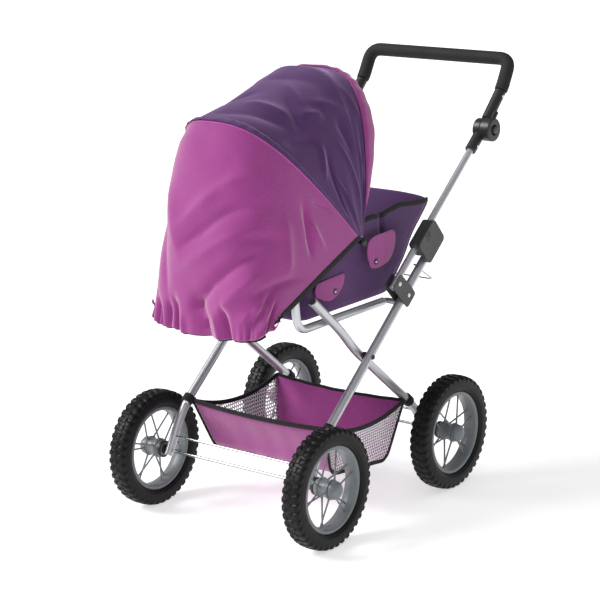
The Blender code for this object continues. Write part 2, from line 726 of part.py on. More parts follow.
def add_canopy():
    """Cloth drawn straight from bow to bow."""
    foot = (0.0300 / FRONT_BOW["reach"]) ** (FRONT_BOW["power"] / 2)
    angles = arch_angles(foot, ARCH_STEPS)
    lines = [
        [bow_point(bow, HOOD_HALF_WIDTH, bow["reach"], angle) for angle in angles]
        for bow in (FRONT_BOW, MID_BOW, SEAM_BOW)]
    lines[2] = [point + Vector((0.0, 0.0012, 0.0006)) for point in lines[2]]
    rows = [lines[0]]
    for one, two, steps in ((lines[0], lines[1], 1), (lines[1], lines[2], 3)):
        for step in range(1, steps + 1):
            rows.append([a.lerp(b, step / steps) for a, b in zip(one, two)])
    mesh = sheet_mesh(rows, HOOD_CLOTH)
    keep("hood_canopy", mesh, PURPLE)


def hem_point(angle):
    """The gathered lower edge of the head-end cover, right side first."""
    power = 2.0 / 3.6
    across = math.copysign(abs(math.cos(angle)) ** power, math.cos(angle))
    front = abs(math.sin(angle)) ** power
    return at(HOOD_HALF_WIDTH * across, (-0.2200 - 0.0430 * front, 0.3740 - 0.0280 * front))


def add_head_cover():
    foot = (0.0300 / SEAM_BOW["reach"]) ** (SEAM_BOW["power"] / 2)
    angles = arch_angles(foot, ARCH_STEPS)
    levels = 5
    rows = []
    for level in range(levels + 1):
        t = level / levels
        swell = 0.0180 * math.sin(math.pi * t)
        row = []
        for angle in angles:
            top = bow_point(SEAM_BOW, HOOD_HALF_WIDTH, SEAM_BOW["reach"], angle)
            point = top * (1 - t) + hem_point(angle) * t
            point.y -= swell * math.sin(angle) ** 0.5
            row.append(point)
        rows.append(row)
    keep("head_cover", sheet_mesh(rows, HOOD_CLOTH), PINK)


def add_hood_pivots():
    inner = TUB_HALF_WIDTH - TUB_WALL - GAP
    outer = HOOD_HALF_WIDTH + GAP
    pin = [
        (0.0, inner - 0.0020), (0.0060, inner - 0.0020), (0.0060, inner), (0.0028, inner),
        (0.0028, outer), (0.0068, outer), (0.0060, outer + 0.0035), (0.0, outer + 0.0045),
    ]
    pair("hood_pivot", pin_mesh(HOOD_PIVOT, pin), BLACK)


# ---- basket ----
def add_basket():
    """Open tray whose floor stays inside the rear stay rod's sweep as the frame folds."""
    half = BASKET_HALF_WIDTH
    loops = [
        rounded_loop(half - 0.0300, -0.1000, 0.0750, 0.012, 0.0810, 0.0815),
        rounded_loop(half - 0.0240, -0.1080, 0.0840, 0.014, 0.0880, 0.0885),
        rounded_loop(half, -0.1270, 0.1120, 0.010, 0.1760, 0.1680),
    ]
    keep("basket", tray_mesh(loops, BASKET_WALL), PINK)


add_wheels()
add_axles()
add_chassis_tubes()
add_rear_legs()
add_crossing_pins()
add_handle_tubes()
add_brackets()
add_sliders()
add_bail()
add_handle_hinges()
add_handle_bar()
add_seat_frame()
add_seat_tub()
add_bows()
add_canopy()
add_head_cover()
add_hood_pivots()
add_basket()
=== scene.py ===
"""Doll stroller: finished surfaces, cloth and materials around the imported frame.

Metres, +Z up, -Y the head end, +X the right side. Side-view places are (y, z) counted from the
middle of the wheelbase, and at() turns one into a point of the frame.
"""
import json
import math

import bmesh
import bpy
import numpy as np
from mathutils import Matrix, Vector


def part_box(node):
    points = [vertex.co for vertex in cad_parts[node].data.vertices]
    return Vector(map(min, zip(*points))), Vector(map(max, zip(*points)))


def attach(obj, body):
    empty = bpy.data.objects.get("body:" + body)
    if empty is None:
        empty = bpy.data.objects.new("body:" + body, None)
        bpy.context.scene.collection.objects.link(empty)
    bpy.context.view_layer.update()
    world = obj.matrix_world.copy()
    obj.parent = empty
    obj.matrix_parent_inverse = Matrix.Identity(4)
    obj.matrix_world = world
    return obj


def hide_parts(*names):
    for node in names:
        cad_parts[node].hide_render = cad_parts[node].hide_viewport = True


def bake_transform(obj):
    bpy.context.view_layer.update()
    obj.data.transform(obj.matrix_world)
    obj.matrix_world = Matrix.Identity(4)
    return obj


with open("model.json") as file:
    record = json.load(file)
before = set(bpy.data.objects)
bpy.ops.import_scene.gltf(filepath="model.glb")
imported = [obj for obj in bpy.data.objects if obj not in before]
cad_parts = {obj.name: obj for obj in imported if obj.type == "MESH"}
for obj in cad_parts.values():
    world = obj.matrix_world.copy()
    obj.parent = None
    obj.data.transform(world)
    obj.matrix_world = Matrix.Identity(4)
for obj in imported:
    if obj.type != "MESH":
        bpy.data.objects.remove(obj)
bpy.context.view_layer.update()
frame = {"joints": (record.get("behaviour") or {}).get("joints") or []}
JOINTS = {joint["name"]: joint for joint in frame["joints"]}
SIDES = (("left", -1.0), ("right", 1.0))
ENDS = (("front", "chassis"), ("rear", "rear_frame"))


def joint_point(name):
    """A joint's place at rest, in metres."""
    return np.array(JOINTS[name]["pos_m"], float)


FRONT_HUB = joint_point("wheel_spin_front_right")
REAR_HUB = joint_point("wheel_spin_rear_right")
MIDDLE_Y = (FRONT_HUB[1] + REAR_HUB[1]) / 2
CROSSING = joint_point("frame_fold")
HANDLE_PIVOT = joint_point("handle_fold")
HINGE = joint_point("handle_tilt")
HOOD_PIVOT = joint_point("hood_fold")
BAIL_PIVOT = joint_point("bail_swing")

CHASSIS_X = 0.150
LEG_X = 0.130
RAIL_X = 0.112
FRAME_RADIUS = 0.0075
HANDLE_RADIUS = 0.0060
GAP = 0.0004            # between pieces that touch
SLIDER_ALONG = 0.1025   # middle of the lock blocks, up the handle tube from its pivot
SLIDER_HALF = 0.0300
HANDLE_DIRECTION = np.array(JOINTS["lock_slide_right"]["axis"], float)
HANDLE_SQUARE = np.array([0.0, -HANDLE_DIRECTION[2], HANDLE_DIRECTION[1]])


def at(x, y, z):
    """The frame's point at side x and side-view place (y, z)."""
    return np.array([x, y + MIDDLE_Y, z], float)


def on_side(point, x):
    """The same side-view place moved to side x."""
    return np.array([x, point[1], point[2]], float)


def flipped(points):
    """The points reflected to the other side."""
    return np.asarray(points) * np.array([-1.0, 1.0, 1.0])


# ---------------------------------------------------------------- node groups
def add_node(tree, kind, inputs=(), **settings):
    """A node with its settings; inputs pair a socket with a value or another socket."""
    node = tree.nodes.new(kind)
    for key, value in settings.items():
        setattr(node, key, value)
    for socket, value in dict(inputs).items():
        if isinstance(value, bpy.types.NodeSocket):
            tree.links.new(value, node.inputs[socket])
        else:
            node.inputs[socket].default_value = value
    return node


def new_group(name, takes, gives):
    """An empty shader group; takes and gives are (name, socket type, default) and (name, type)."""
    group = bpy.data.node_groups.new(name, "ShaderNodeTree")
    for label, kind, default in takes:
        socket = group.interface.new_socket(name=label, in_out="INPUT", socket_type=kind)
        if default is not None:
            socket.default_value = default
    for label, kind in gives:
        group.interface.new_socket(name=label, in_out="OUTPUT", socket_type=kind)
    inlet = group.nodes.new("NodeGroupInput")
    outlet = group.nodes.new("NodeGroupOutput")
    return group, inlet.outputs, outlet.inputs


def maths(tree, operation, first, second=0.0, third=0.0):
    """The output of one arithmetic node; each operand is a number or a socket."""
    node = add_node(tree, "ShaderNodeMath", {0: first, 1: second, 2: third}, operation=operation)
    return node.outputs[0]


def make_weave_group():
    """Plain weave: the product of two sines across and along the cloth, with slubs of noise."""
    group, given, out = new_group("plain_weave", (
        ("Vector", "NodeSocketVector", None), ("Thread", "NodeSocketFloat", 0.002),
        ("Slub", "NodeSocketFloat", 0.5)),
        (("Thread mask", "NodeSocketFloat"), ("Height", "NodeSocketFloat")))
    parts = add_node(group, "ShaderNodeSeparateXYZ", {0: given["Vector"]})
    rate = maths(group, "DIVIDE", 2 * math.pi, given["Thread"])
    across = maths(group, "SINE", maths(group, "MULTIPLY", parts.outputs[0], rate))
    along = maths(group, "SINE", maths(group, "MULTIPLY", parts.outputs[1], rate))
    weave = maths(group, "MULTIPLY_ADD", maths(group, "MULTIPLY", across, along), 0.5, 0.5)
    slub = add_node(group, "ShaderNodeTexNoise", {
        "Vector": given["Vector"], "Scale": 240.0, "Detail": 2.0, "Roughness": 0.6})
    uneven = maths(group, "SUBTRACT", slub.outputs[0], 0.5)
    mixed = maths(group, "MULTIPLY_ADD", uneven, given["Slub"], weave)
    group.links.new(mixed, out["Thread mask"])
    group.links.new(mixed, out["Height"])
    return group


def make_mottle_group():
    """Broad and fine noise added together, for uneven dye, dust and handling."""
    group, given, out = new_group("soft_mottle", (
        ("Vector", "NodeSocketVector", None), ("Scale", "NodeSocketFloat", 12.0),
        ("Amount", "NodeSocketFloat", 0.5)), (("Shade", "NodeSocketFloat"),))
    broad = add_node(group, "ShaderNodeTexNoise", {
        "Vector": given["Vector"], "Scale": given["Scale"], "Detail": 3.0, "Roughness": 0.55})
    fine_scale = maths(group, "MULTIPLY", given["Scale"], 9.0)
    fine = add_node(group, "ShaderNodeTexNoise", {
        "Vector": given["Vector"], "Scale": fine_scale, "Detail": 2.0, "Roughness": 0.6})
    main = maths(group, "MULTIPLY", broad.outputs[0], 0.65)
    both = maths(group, "MULTIPLY_ADD", fine.outputs[0], 0.35, main)
    centred = maths(group, "SUBTRACT", both, 0.5)
    shade = maths(group, "MULTIPLY_ADD", centred, given["Amount"], 0.5)
    group.links.new(maths(group, "MAXIMUM", maths(group, "MINIMUM", shade, 1.0), 0.0), out["Shade"])
    return group


def make_grain_group():
    """Moulded or brushed grain: stretched noise for height, and the same noise for gloss."""
    group, given, out = new_group("fine_grain", (
        ("Vector", "NodeSocketVector", None), ("Scale", "NodeSocketFloat", 900.0),
        ("Gloss", "NodeSocketFloat", 0.4), ("Spread", "NodeSocketFloat", 0.1)),
        (("Height", "NodeSocketFloat"), ("Roughness", "NodeSocketFloat")))
    noise = add_node(group, "ShaderNodeTexNoise", {
        "Vector": given["Vector"], "Scale": given["Scale"], "Detail": 4.0, "Roughness": 0.65})
    broad = add_node(group, "ShaderNodeTexNoise", {"Vector": given["Vector"], "Scale": 26.0, "Detail": 3.0})
    smear = maths(group, "MULTIPLY_ADD", maths(group, "SUBTRACT", broad.outputs[0], 0.5),
                  given["Spread"], given["Gloss"])
    group.links.new(noise.outputs[0], out["Height"])
    group.links.new(smear, out["Roughness"])
    return group


def make_net_group():
    """Knitted net: staggered round holes, one thread wide between them."""
    group, given, out = new_group("knitted_net", (
        ("Vector", "NodeSocketVector", None), ("Pitch", "NodeSocketFloat", 0.004),
        ("Hole", "NodeSocketFloat", 0.30)), (("Alpha", "NodeSocketFloat"), ("Height", "NodeSocketFloat")))
    inverse = maths(group, "DIVIDE", 1.0, given["Pitch"])
    scaled = add_node(group, "ShaderNodeVectorMath", {0: given["Vector"], "Scale": inverse},
                      operation="SCALE")
    parts = add_node(group, "ShaderNodeSeparateXYZ", {0: scaled.outputs[0]})
    row = maths(group, "FLOOR", parts.outputs[1])
    shift = maths(group, "MULTIPLY", maths(group, "MODULO", row, 2.0), 0.5)
    u = maths(group, "SUBTRACT", maths(group, "FRACT", maths(group, "ADD", parts.outputs[0], shift)), 0.5)
    v = maths(group, "SUBTRACT", maths(group, "FRACT", parts.outputs[1]), 0.5)
    square = maths(group, "ADD", maths(group, "MULTIPLY", u, u), maths(group, "MULTIPLY", v, v))
    reach = maths(group, "SQRT", square)
    solid = maths(group, "GREATER_THAN", reach, given["Hole"])
    group.links.new(solid, out["Alpha"])
    group.links.new(reach, out["Height"])
    return group


WEAVE = make_weave_group()
MOTTLE = make_mottle_group()
GRAIN = make_grain_group()
NET = make_net_group()


# ---------------------------------------------------------------- materials
def new_material(name, fixed):
    """A material with its constant values set on the shader's own sockets."""
    made = bpy.data.materials.new(name)
    made.use_nodes = True
    shader = made.node_tree.nodes["Principled BSDF"]
    for socket, value in fixed.items():
        shader.inputs[socket].default_value = value
    return made, made.node_tree, shader


def blend_colours(tree, shade, dark, light):
    """Dark where the shade is 0 and light where it is 1, evenly between."""
    node = add_node(tree, "ShaderNodeMix", data_type="RGBA")
    tree.links.new(shade, node.inputs[0])
    node.inputs[6].default_value = (*dark, 1.0)
    node.inputs[7].default_value = (*light, 1.0)
    return node.outputs[2]


def raise_surface(tree, shader, height, distance, strength):
    """Feeds a height to the shader's normal through a bump node."""
    bump = add_node(tree, "ShaderNodeBump", {"Height": height, "Distance": distance, "Strength": strength})
    tree.links.new(bump.outputs[0], shader.inputs["Normal"])


def coordinates(tree, kind):
    """One output of the texture coordinate node."""
    return add_node(tree, "ShaderNodeTexCoord").outputs[kind]


def cloth_material(name, dark, light, thread=0.0024, sheen=0.35, relief=0.00035, tint=(1, 1, 1), space="UV"):
    """Woven cloth: thread pattern over uneven dye, with a soft sheen."""
    made, tree, shader = new_material(name, {
        "Roughness": 0.82, "Sheen Weight": sheen, "Sheen Roughness": 0.45,
        "Sheen Tint": (*tint, 1.0), "Specular IOR Level": 0.28})
    place = coordinates(tree, space)
    weave = add_node(tree, "ShaderNodeGroup", node_tree=WEAVE)
    tree.links.new(place, weave.inputs["Vector"])
    weave.inputs["Thread"].default_value = thread
    mottle = add_node(tree, "ShaderNodeGroup", node_tree=MOTTLE)
    tree.links.new(coordinates(tree, "Object"), mottle.inputs["Vector"])
    mottle.inputs["Scale"].default_value = 14.0
    mottle.inputs["Amount"].default_value = 0.8
    shade = maths(tree, "MULTIPLY_ADD", weave.outputs["Thread mask"], 0.45,
                  maths(tree, "MULTIPLY", mottle.outputs["Shade"], 0.55))
    tree.links.new(blend_colours(tree, shade, dark, light), shader.inputs["Base Color"])
    raise_surface(tree, shader, weave.outputs["Height"], relief, 0.8)
    return made


def moulded_material(name, dark, light, gloss, scale=900.0, relief=0.00008, spread=0.15, fixed=()):
    """Moulded plastic, rubber or painted metal: grain in the surface and smears in the gloss."""
    made, tree, shader = new_material(name, dict(fixed))
    place = coordinates(tree, "Object")
    grain = add_node(tree, "ShaderNodeGroup", node_tree=GRAIN)
    tree.links.new(place, grain.inputs["Vector"])
    grain.inputs["Scale"].default_value = scale
    grain.inputs["Gloss"].default_value = gloss
    grain.inputs["Spread"].default_value = spread
    mottle = add_node(tree, "ShaderNodeGroup", node_tree=MOTTLE)
    tree.links.new(place, mottle.inputs["Vector"])
    mottle.inputs["Scale"].default_value = 20.0
    mottle.inputs["Amount"].default_value = 1.0
    tree.links.new(blend_colours(tree, mottle.outputs["Shade"], dark, light), shader.inputs["Base Color"])
    tree.links.new(grain.outputs["Roughness"], shader.inputs["Roughness"])
    raise_surface(tree, shader, grain.outputs["Height"], relief, 0.6)
    return made


def net_material(name):
    """White knitted net, see-through in its holes."""
    made, tree, shader = new_material(name, {"Roughness": 0.6, "Sheen Weight": 0.2})
    place = coordinates(tree, "UV")
    net = add_node(tree, "ShaderNodeGroup", node_tree=NET)
    tree.links.new(place, net.inputs["Vector"])
    net.inputs["Pitch"].default_value = 0.0058
    net.inputs["Hole"].default_value = 0.37
    mottle = add_node(tree, "ShaderNodeGroup", node_tree=MOTTLE)
    tree.links.new(place, mottle.inputs["Vector"])
    colour = blend_colours(tree, mottle.outputs["Shade"], (0.80, 0.78, 0.82), (0.96, 0.95, 0.97))
    tree.links.new(colour, shader.inputs["Base Color"])
    tree.links.new(net.outputs["Alpha"], shader.inputs["Alpha"])
    raise_surface(tree, shader, net.outputs["Height"], 0.0006, 0.7)
    return made


PINK = cloth_material("magenta_cloth", (0.200, 0.018, 0.160), (0.410, 0.066, 0.300), tint=(1.0, 0.82, 0.82),
                      thread=0.0036, sheen=0.85)
PINK_FLAT = cloth_material("magenta_tab_cloth", (0.200, 0.018, 0.160), (0.410, 0.066, 0.300),
                           tint=(1.0, 0.82, 0.82), thread=0.0036, space="Object", sheen=0.85)
PINK_TRIM = cloth_material("magenta_piping", (0.400, 0.050, 0.310), (0.560, 0.110, 0.460), space="Object")
PURPLE = cloth_material("aubergine_cloth", (0.034, 0.010, 0.055), (0.098, 0.038, 0.145),
                        tint=(0.85, 0.58, 1.0), thread=0.0036, sheen=0.60)
PURPLE_PAD = cloth_material("aubergine_pad_cloth", (0.050, 0.016, 0.078), (0.098, 0.038, 0.150),
                            tint=(0.80, 0.65, 1.0), space="Object")
BINDING = cloth_material("black_binding", (0.006, 0.006, 0.007), (0.020, 0.019, 0.021),
                         thread=0.0016, sheen=0.12, space="Object")
NET_WHITE = net_material("white_net")
SILVER = moulded_material("silver_powder_coat", (0.50, 0.51, 0.54), (0.60, 0.61, 0.64), 0.34,
                          scale=1500.0, relief=0.00003, fixed={"Metallic": 0.75, "Coat Weight": 0.25})
STEEL = moulded_material("plated_steel", (0.40, 0.40, 0.41), (0.58, 0.58, 0.59), 0.28,
                         scale=700.0, relief=0.00003, fixed={"Metallic": 1.0})
BLACK = moulded_material("black_plastic", (0.008, 0.008, 0.009), (0.018, 0.018, 0.020), 0.40)
CHARCOAL = moulded_material("charcoal_plastic", (0.028, 0.028, 0.030), (0.052, 0.052, 0.055), 0.46)
GREY = moulded_material("grey_wheel_plastic", (0.130, 0.145, 0.155), (0.205, 0.220, 0.232), 0.34,
                        relief=0.00006)
RUBBER = moulded_material("tyre_rubber", (0.003, 0.003, 0.003), (0.009, 0.009, 0.009), 0.42,
                          scale=420.0, relief=0.00025, spread=0.3, fixed={"Specular IOR Level": 0.18})
FOAM = moulded_material("grip_foam", (0.010, 0.010, 0.011), (0.024, 0.023, 0.026), 0.74,
                        scale=1300.0, relief=0.00035, fixed={"Specular IOR Level": 0.3})
WHITE = moulded_material("white_rivet", (0.70, 0.70, 0.70), (0.84, 0.84, 0.84), 0.30)


# ---------------------------------------------------------------- surfaces
def grid_quads(rows, columns, wrap_rows=False, wrap_columns=False):
    """Corner numbers of the quads between the rows and columns of a point grid."""
    r = np.arange(rows if wrap_rows else rows - 1)
    c = np.arange(columns if wrap_columns else columns - 1)
    r, c = np.meshgrid(r, c, indexing="ij")
    below, after = (r + 1) % rows, (c + 1) % columns
    return np.stack([r * columns + c, r * columns + after, below * columns + after,
                     below * columns + c], -1).reshape(-1, 4)


def build_mesh(name, points, quads, extra_faces=(), uv=None):
    """A mesh from points and faces, with one UV place to a point where they are given."""
    mesh = bpy.data.meshes.new(name)
    faces = [list(map(int, face)) for face in quads] + [list(map(int, face)) for face in extra_faces]
    mesh.from_pydata(np.asarray(points, float).reshape(-1, 3).tolist(), [], faces)
    if uv is not None:
        corners = np.zeros(len(mesh.loops), np.int32)
        mesh.loops.foreach_get("vertex_index", corners)
        layer = mesh.uv_layers.new(name="UVMap")
        layer.data.foreach_set("uv", np.asarray(uv, np.float32).reshape(-1, 2)[corners].ravel())
    return mesh


def clean(mesh, outward=True):
    """Merges points that meet at poles and seams, and turns a closed mesh's faces outward."""
    work = bmesh.new()
    work.from_mesh(mesh)
    bmesh.ops.remove_doubles(work, verts=work.verts, dist=1e-6)
    if outward:
        bmesh.ops.recalc_face_normals(work, faces=work.faces)
    work.to_mesh(mesh)
    work.free()
    return mesh


def finished(name, mesh, material, body, replaces=(), angle=40):
    """Puts a mesh in the scene as a piece that rides on a body."""
    mesh.shade_smooth()
    mesh.set_sharp_from_angle(angle=math.radians(angle))
    mesh.materials.clear()
    mesh.materials.append(material)
    piece = bpy.data.objects.new(name, mesh)
    bpy.context.scene.collection.objects.link(piece)
    if isinstance(body, str):
        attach(piece, body)
    if replaces:
        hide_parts(*replaces)
    return piece


def joined_mesh(name, meshes):
    """Several meshes in one, each still a closed shell of its own."""
    work = bmesh.new()
    for mesh in meshes:
        work.from_mesh(mesh)
        bpy.data.meshes.remove(mesh)
    made = bpy.data.meshes.new(name)
    work.to_mesh(made)
    work.free()
    return made


def turned(profile, centre, axis=(1.0, 0.0, 0.0), steps=64, closed=False):
    """A profile of (radius, distance along the axis) turned about an axis through the centre."""
    profile = np.asarray(profile, float)
    axis = np.asarray(axis, float) / np.linalg.norm(axis)
    first = np.cross(axis, [0.0, 0.0, 1.0]) if abs(axis[2]) < 0.9 else np.cross(axis, [0.0, 1.0, 0.0])
    first /= np.linalg.norm(first)
    second = np.cross(axis, first)
    angle = np.linspace(0, 2 * np.pi, steps, endpoint=False)[:, None, None]
    ring = np.cos(angle) * first + np.sin(angle) * second
    points = np.asarray(centre) + ring * profile[None, :, :1] + axis * profile[None, :, 1:]
    return clean(build_mesh("turned", points, grid_quads(steps, len(profile), True, closed)))


def rounded_profile(corners, radius, steps=4):
    """A profile whose inner corners are each replaced with a small curve."""
    corners = [np.asarray(corner, float) for corner in corners]
    out = [corners[0]]
    t = np.linspace(0, 1, steps + 1)[:, None]
    for before, corner, after in zip(corners, corners[1:], corners[2:]):
        reach = min(radius, 0.45 * np.linalg.norm(before - corner), 0.45 * np.linalg.norm(after - corner))
        start = corner + (before - corner) / np.linalg.norm(before - corner) * reach
        end = corner + (after - corner) / np.linalg.norm(after - corner) * reach
        out.extend(start * (1 - t) ** 2 + corner * 2 * t * (1 - t) + end * t ** 2)
    out.append(corners[-1])
    return np.array(out)


def resampled(path, count, closed=False):
    """The path's points spread evenly along its length."""
    path = np.asarray(path, float)
    if closed:
        path = np.vstack([path, path[:1]])
    length = np.concatenate([[0.0], np.cumsum(np.linalg.norm(np.diff(path, axis=0), axis=1))])
    where = np.linspace(0, length[-1], count + 1)[:-1] if closed else np.linspace(0, length[-1], count)
    return np.stack([np.interp(where, length, path[:, k]) for k in range(path.shape[1])], 1)


def bent_path(corners, radius, spacing=0.004):
    """A path through corner points with its bends rounded, as evenly spaced points."""
    path = rounded_profile(corners, radius, 10)
    length = np.linalg.norm(np.diff(path, axis=0), axis=1).sum()
    return resampled(path, max(4, int(length / spacing)))


def swept(path, section, reference, closed=False, scale=None):
    """A section of (side, up) offsets carried along a path, kept square to it.

    The side direction is the reference made square to the path; scale shrinks each station.
    """
    path = np.asarray(path, float)
    if closed:
        tangent = np.roll(path, -1, 0) - np.roll(path, 1, 0)
    else:
        tangent = np.gradient(path, axis=0)
    tangent /= np.linalg.norm(tangent, axis=1, keepdims=True)
    reference = np.broadcast_to(np.asarray(reference, float), path.shape)
    side = reference - (reference * tangent).sum(1, keepdims=True) * tangent
    side /= np.linalg.norm(side, axis=1, keepdims=True)
    up = np.cross(tangent, side)
    section = np.asarray(section, float)
    scale = np.ones(len(path)) if scale is None else np.asarray(scale)
    offset = section[None] * scale[:, None, None]
    points = path[:, None] + side[:, None] * offset[..., :1] + up[:, None] * offset[..., 1:]
    rows, columns = points.shape[:2]
    quads = grid_quads(rows, columns, closed, True)
    caps = () if closed else (range(columns), range((rows - 1) * columns, rows * columns))
    return clean(build_mesh("swept", points, quads, caps))


def circle(radius, sides=24):
    """Points evenly round a circle: radius times the cosine and the sine of the angle."""
    angle = np.linspace(0, 2 * np.pi, sides, endpoint=False)
    return np.stack([radius * np.cos(angle), radius * np.sin(angle)], 1)


def oval(half_side, half_up, power=3.0, sides=20):
    """A superellipse section: flatter than an ellipse where power is above 2."""
    angle = np.linspace(0, 2 * np.pi, sides, endpoint=False)
    side = np.sign(np.cos(angle)) * np.abs(np.cos(angle)) ** (2 / power)
    up = np.sign(np.sin(angle)) * np.abs(np.sin(angle)) ** (2 / power)
    return np.stack([half_side * side, half_up * up], 1)


def tube_mesh(path, radius, reference=(1.0, 0.0, 0.0), sides=24, chamfer=0.0008):
    """A round bar along a path, with its two end edges broken."""
    path = np.asarray(path, float)
    start = path[0] + (path[1] - path[0]) / np.linalg.norm(path[1] - path[0]) * chamfer
    end = path[-1] + (path[-2] - path[-1]) / np.linalg.norm(path[-2] - path[-1]) * chamfer
    whole = np.vstack([path[:1], start, path[1:-1], end, path[-1:]])
    scale = np.ones(len(whole))
    scale[[0, -1]] = 1 - chamfer / radius
    return swept(whole, circle(radius, sides), reference, scale=scale)


def bar_along(path, radius, sides=24):
    """A round bar along a path in space, its section carried from station to station unturned."""
    tangent = np.gradient(path, axis=0)
    tangent /= np.linalg.norm(tangent, axis=1, keepdims=True)
    side = np.zeros_like(path)
    current = np.cross(tangent[0], [1.0, 0.0, 0.0])
    for index, direction in enumerate(tangent):
        current = current - direction * (current @ direction)
        current /= np.linalg.norm(current)
        side[index] = current
    return swept(path, circle(radius, sides), side)


def block_mesh(centre, half, radius, across=(1, 0, 0), along=(0, 1, 0), steps=24):
    """A rounded block: each direction on a sphere is pushed out by the half size less the radius."""
    polar = np.linspace(0, np.pi, steps + 1)[:, None]
    turn = (np.linspace(0, 2 * np.pi, 2 * steps, endpoint=False) + np.pi / (2 * steps))[None]
    ball = np.stack([np.sin(polar) * np.cos(turn), np.sin(polar) * np.sin(turn),
                     np.cos(polar) * np.ones_like(turn)], -1)
    local = np.sign(np.round(ball, 9)) * (np.asarray(half) - radius) + ball * radius
    across = np.asarray(across, float)
    along = np.asarray(along, float)
    basis = np.stack([across, along, np.cross(across, along)])
    points = np.asarray(centre) + local @ basis
    return clean(build_mesh("block", points, grid_quads(steps + 1, 2 * steps, False, True)))


def dome_mesh(centre, axis, radius, height):
    """A rivet head: a low dome with a small straight edge."""
    angle = np.linspace(0, np.pi / 2, 8)
    profile = np.stack([radius * np.cos(angle), height * 0.25 + height * 0.75 * np.sin(angle)], 1)
    profile = np.vstack([[0.0, 0.0], [radius, 0.0], profile])
    return turned(profile, centre, axis, 24)


def plate_mesh(outline, x_from, x_to, radius):
    """A flat plate between two sides from its side-view outline, with rounded corners."""
    closed = [*outline, outline[0], outline[1]]
    ring = rounded_profile(closed, radius, 5)[1:-1]
    edge = 0.0004
    middle = ring.mean(0)
    shrunk = middle + (ring - middle) * (1 - edge / np.linalg.norm(ring - middle, axis=1, keepdims=True))
    layers = []
    for x, shape in ((x_from, shrunk), (x_from + edge, ring), (x_to - edge, ring), (x_to, shrunk)):
        layers.append(np.column_stack([np.full(len(shape), x), shape]))
    points = np.array(layers)
    count = len(ring)
    caps = (range(count), range(3 * count, 4 * count))
    return clean(build_mesh("plate", points, grid_quads(4, count, False, True), caps))


def surface_normals(points):
    """Unit normals of a point grid, from its two directions' differences."""
    normal = np.cross(np.gradient(points, axis=1), np.gradient(points, axis=0))
    return normal / np.maximum(np.linalg.norm(normal, axis=-1, keepdims=True), 1e-12)


def cloth_uv(points):
    """Cloth coordinates in metres: mean distances along the columns and down the rows."""
    across = np.linalg.norm(np.diff(points, axis=1), axis=-1).mean(0)
    down = np.linalg.norm(np.diff(points, axis=0), axis=-1).mean(1)
    u = np.concatenate([[0.0], np.cumsum(across)])
    v = np.concatenate([[0.0], np.cumsum(down)])
    return np.stack(np.meshgrid(u, v), -1)


def cloth_piece(name, points, material, body, replaces=(), wall=0.0014, outward=True,
                wrap=False, uv=None):
    """A sheet of cloth from a point grid, given a wall."""
    rows, columns = points.shape[:2]
    quads = grid_quads(rows, columns, False, wrap)
    if not outward:
        quads = quads[:, ::-1]
    mesh = build_mesh(name, points, quads, uv=cloth_uv(points) if uv is None else uv)
    piece = finished(name, mesh, material, body, replaces, angle=60)
    solid = piece.modifiers.new("wall", "SOLIDIFY")
    solid.thickness = wall
    solid.offset = -1.0
    solid.use_rim = True
    return piece


def tape_mesh(path, reference, half_width=0.0045, half_thick=0.0012, closed=False):
    """Binding tape: a flat superellipse section with its width along the reference."""
    return swept(path, oval(half_width, half_thick, 3.5, 16), reference, closed)


# ---------------------------------------------------------------- wheels
TYRE_HALF = 0.018
LUGS = 42
SPOKES = 12
SPOKE_LEAN = math.radians(9)


def tyre_points():
    """Tyre section turned round the hub; shoulder and tread blocks rise where a wave is high."""
    section = np.array([
        (0.0728, 0.0128), (0.0745, 0.0149), (0.0790, 0.0166), (0.0835, 0.0173), (0.0880, 0.0172),
        (0.0920, 0.0164), (0.0945, 0.0155), (0.0962, 0.0138), (0.0972, 0.0112), (0.0977, 0.0080),
        (0.0979, 0.0045), (0.0980, 0.0000)])
    whole = np.vstack([section, (section[:-1] * [1, -1])[::-1]])
    whole = resampled(whole, 60)
    turn = np.linspace(0, 2 * np.pi, LUGS * 12, endpoint=False)[:, None]
    radius, side = whole[None, :, 0], whole[None, :, 1]
    shoulder = np.clip((radius - 0.0905) / 0.0030, 0, 1)
    stagger = np.where(side > 0, 0.0, np.pi)
    wave = np.sin(LUGS * turn + stagger + 2.2 * np.abs(side) / TYRE_HALF)
    block = np.clip(wave * 2.6 + 0.9, 0, 1)
    groove = np.clip(np.abs(np.abs(side) - 0.0052) / 0.0011, 0, 1)
    centre = np.clip((0.0052 - np.abs(side)) / 0.001, 0, 1)
    centre_wave = np.clip(np.sin(LUGS * turn + np.pi / 2) * 2.6 + 1.2, 0, 1)
    height = shoulder * (block * (1 - centre) + centre_wave * centre) * (0.25 + 0.75 * groove)
    rib = 0.0006 * np.exp(-((radius - 0.0800) / 0.0009) ** 2) * (radius < 0.09)
    radius = radius + 0.0020 * height * np.clip((radius - 0.090) / 0.006, 0, 1) + 0 * turn
    side = side + np.sign(side) * (0.0011 * height * np.clip((np.abs(side) - 0.008) / 0.006, 0, 1) + rib)
    inner = np.stack([np.full(len(turn), 0.0727), np.full(len(turn), -0.0128)], 1)
    radius = np.concatenate([radius, inner[:, :1] * np.ones((1, 1))], 1)
    side = np.concatenate([side + 0 * turn, inner[:, 1:]], 1)
    return np.stack([side, radius * np.cos(turn), radius * np.sin(turn)], -1)


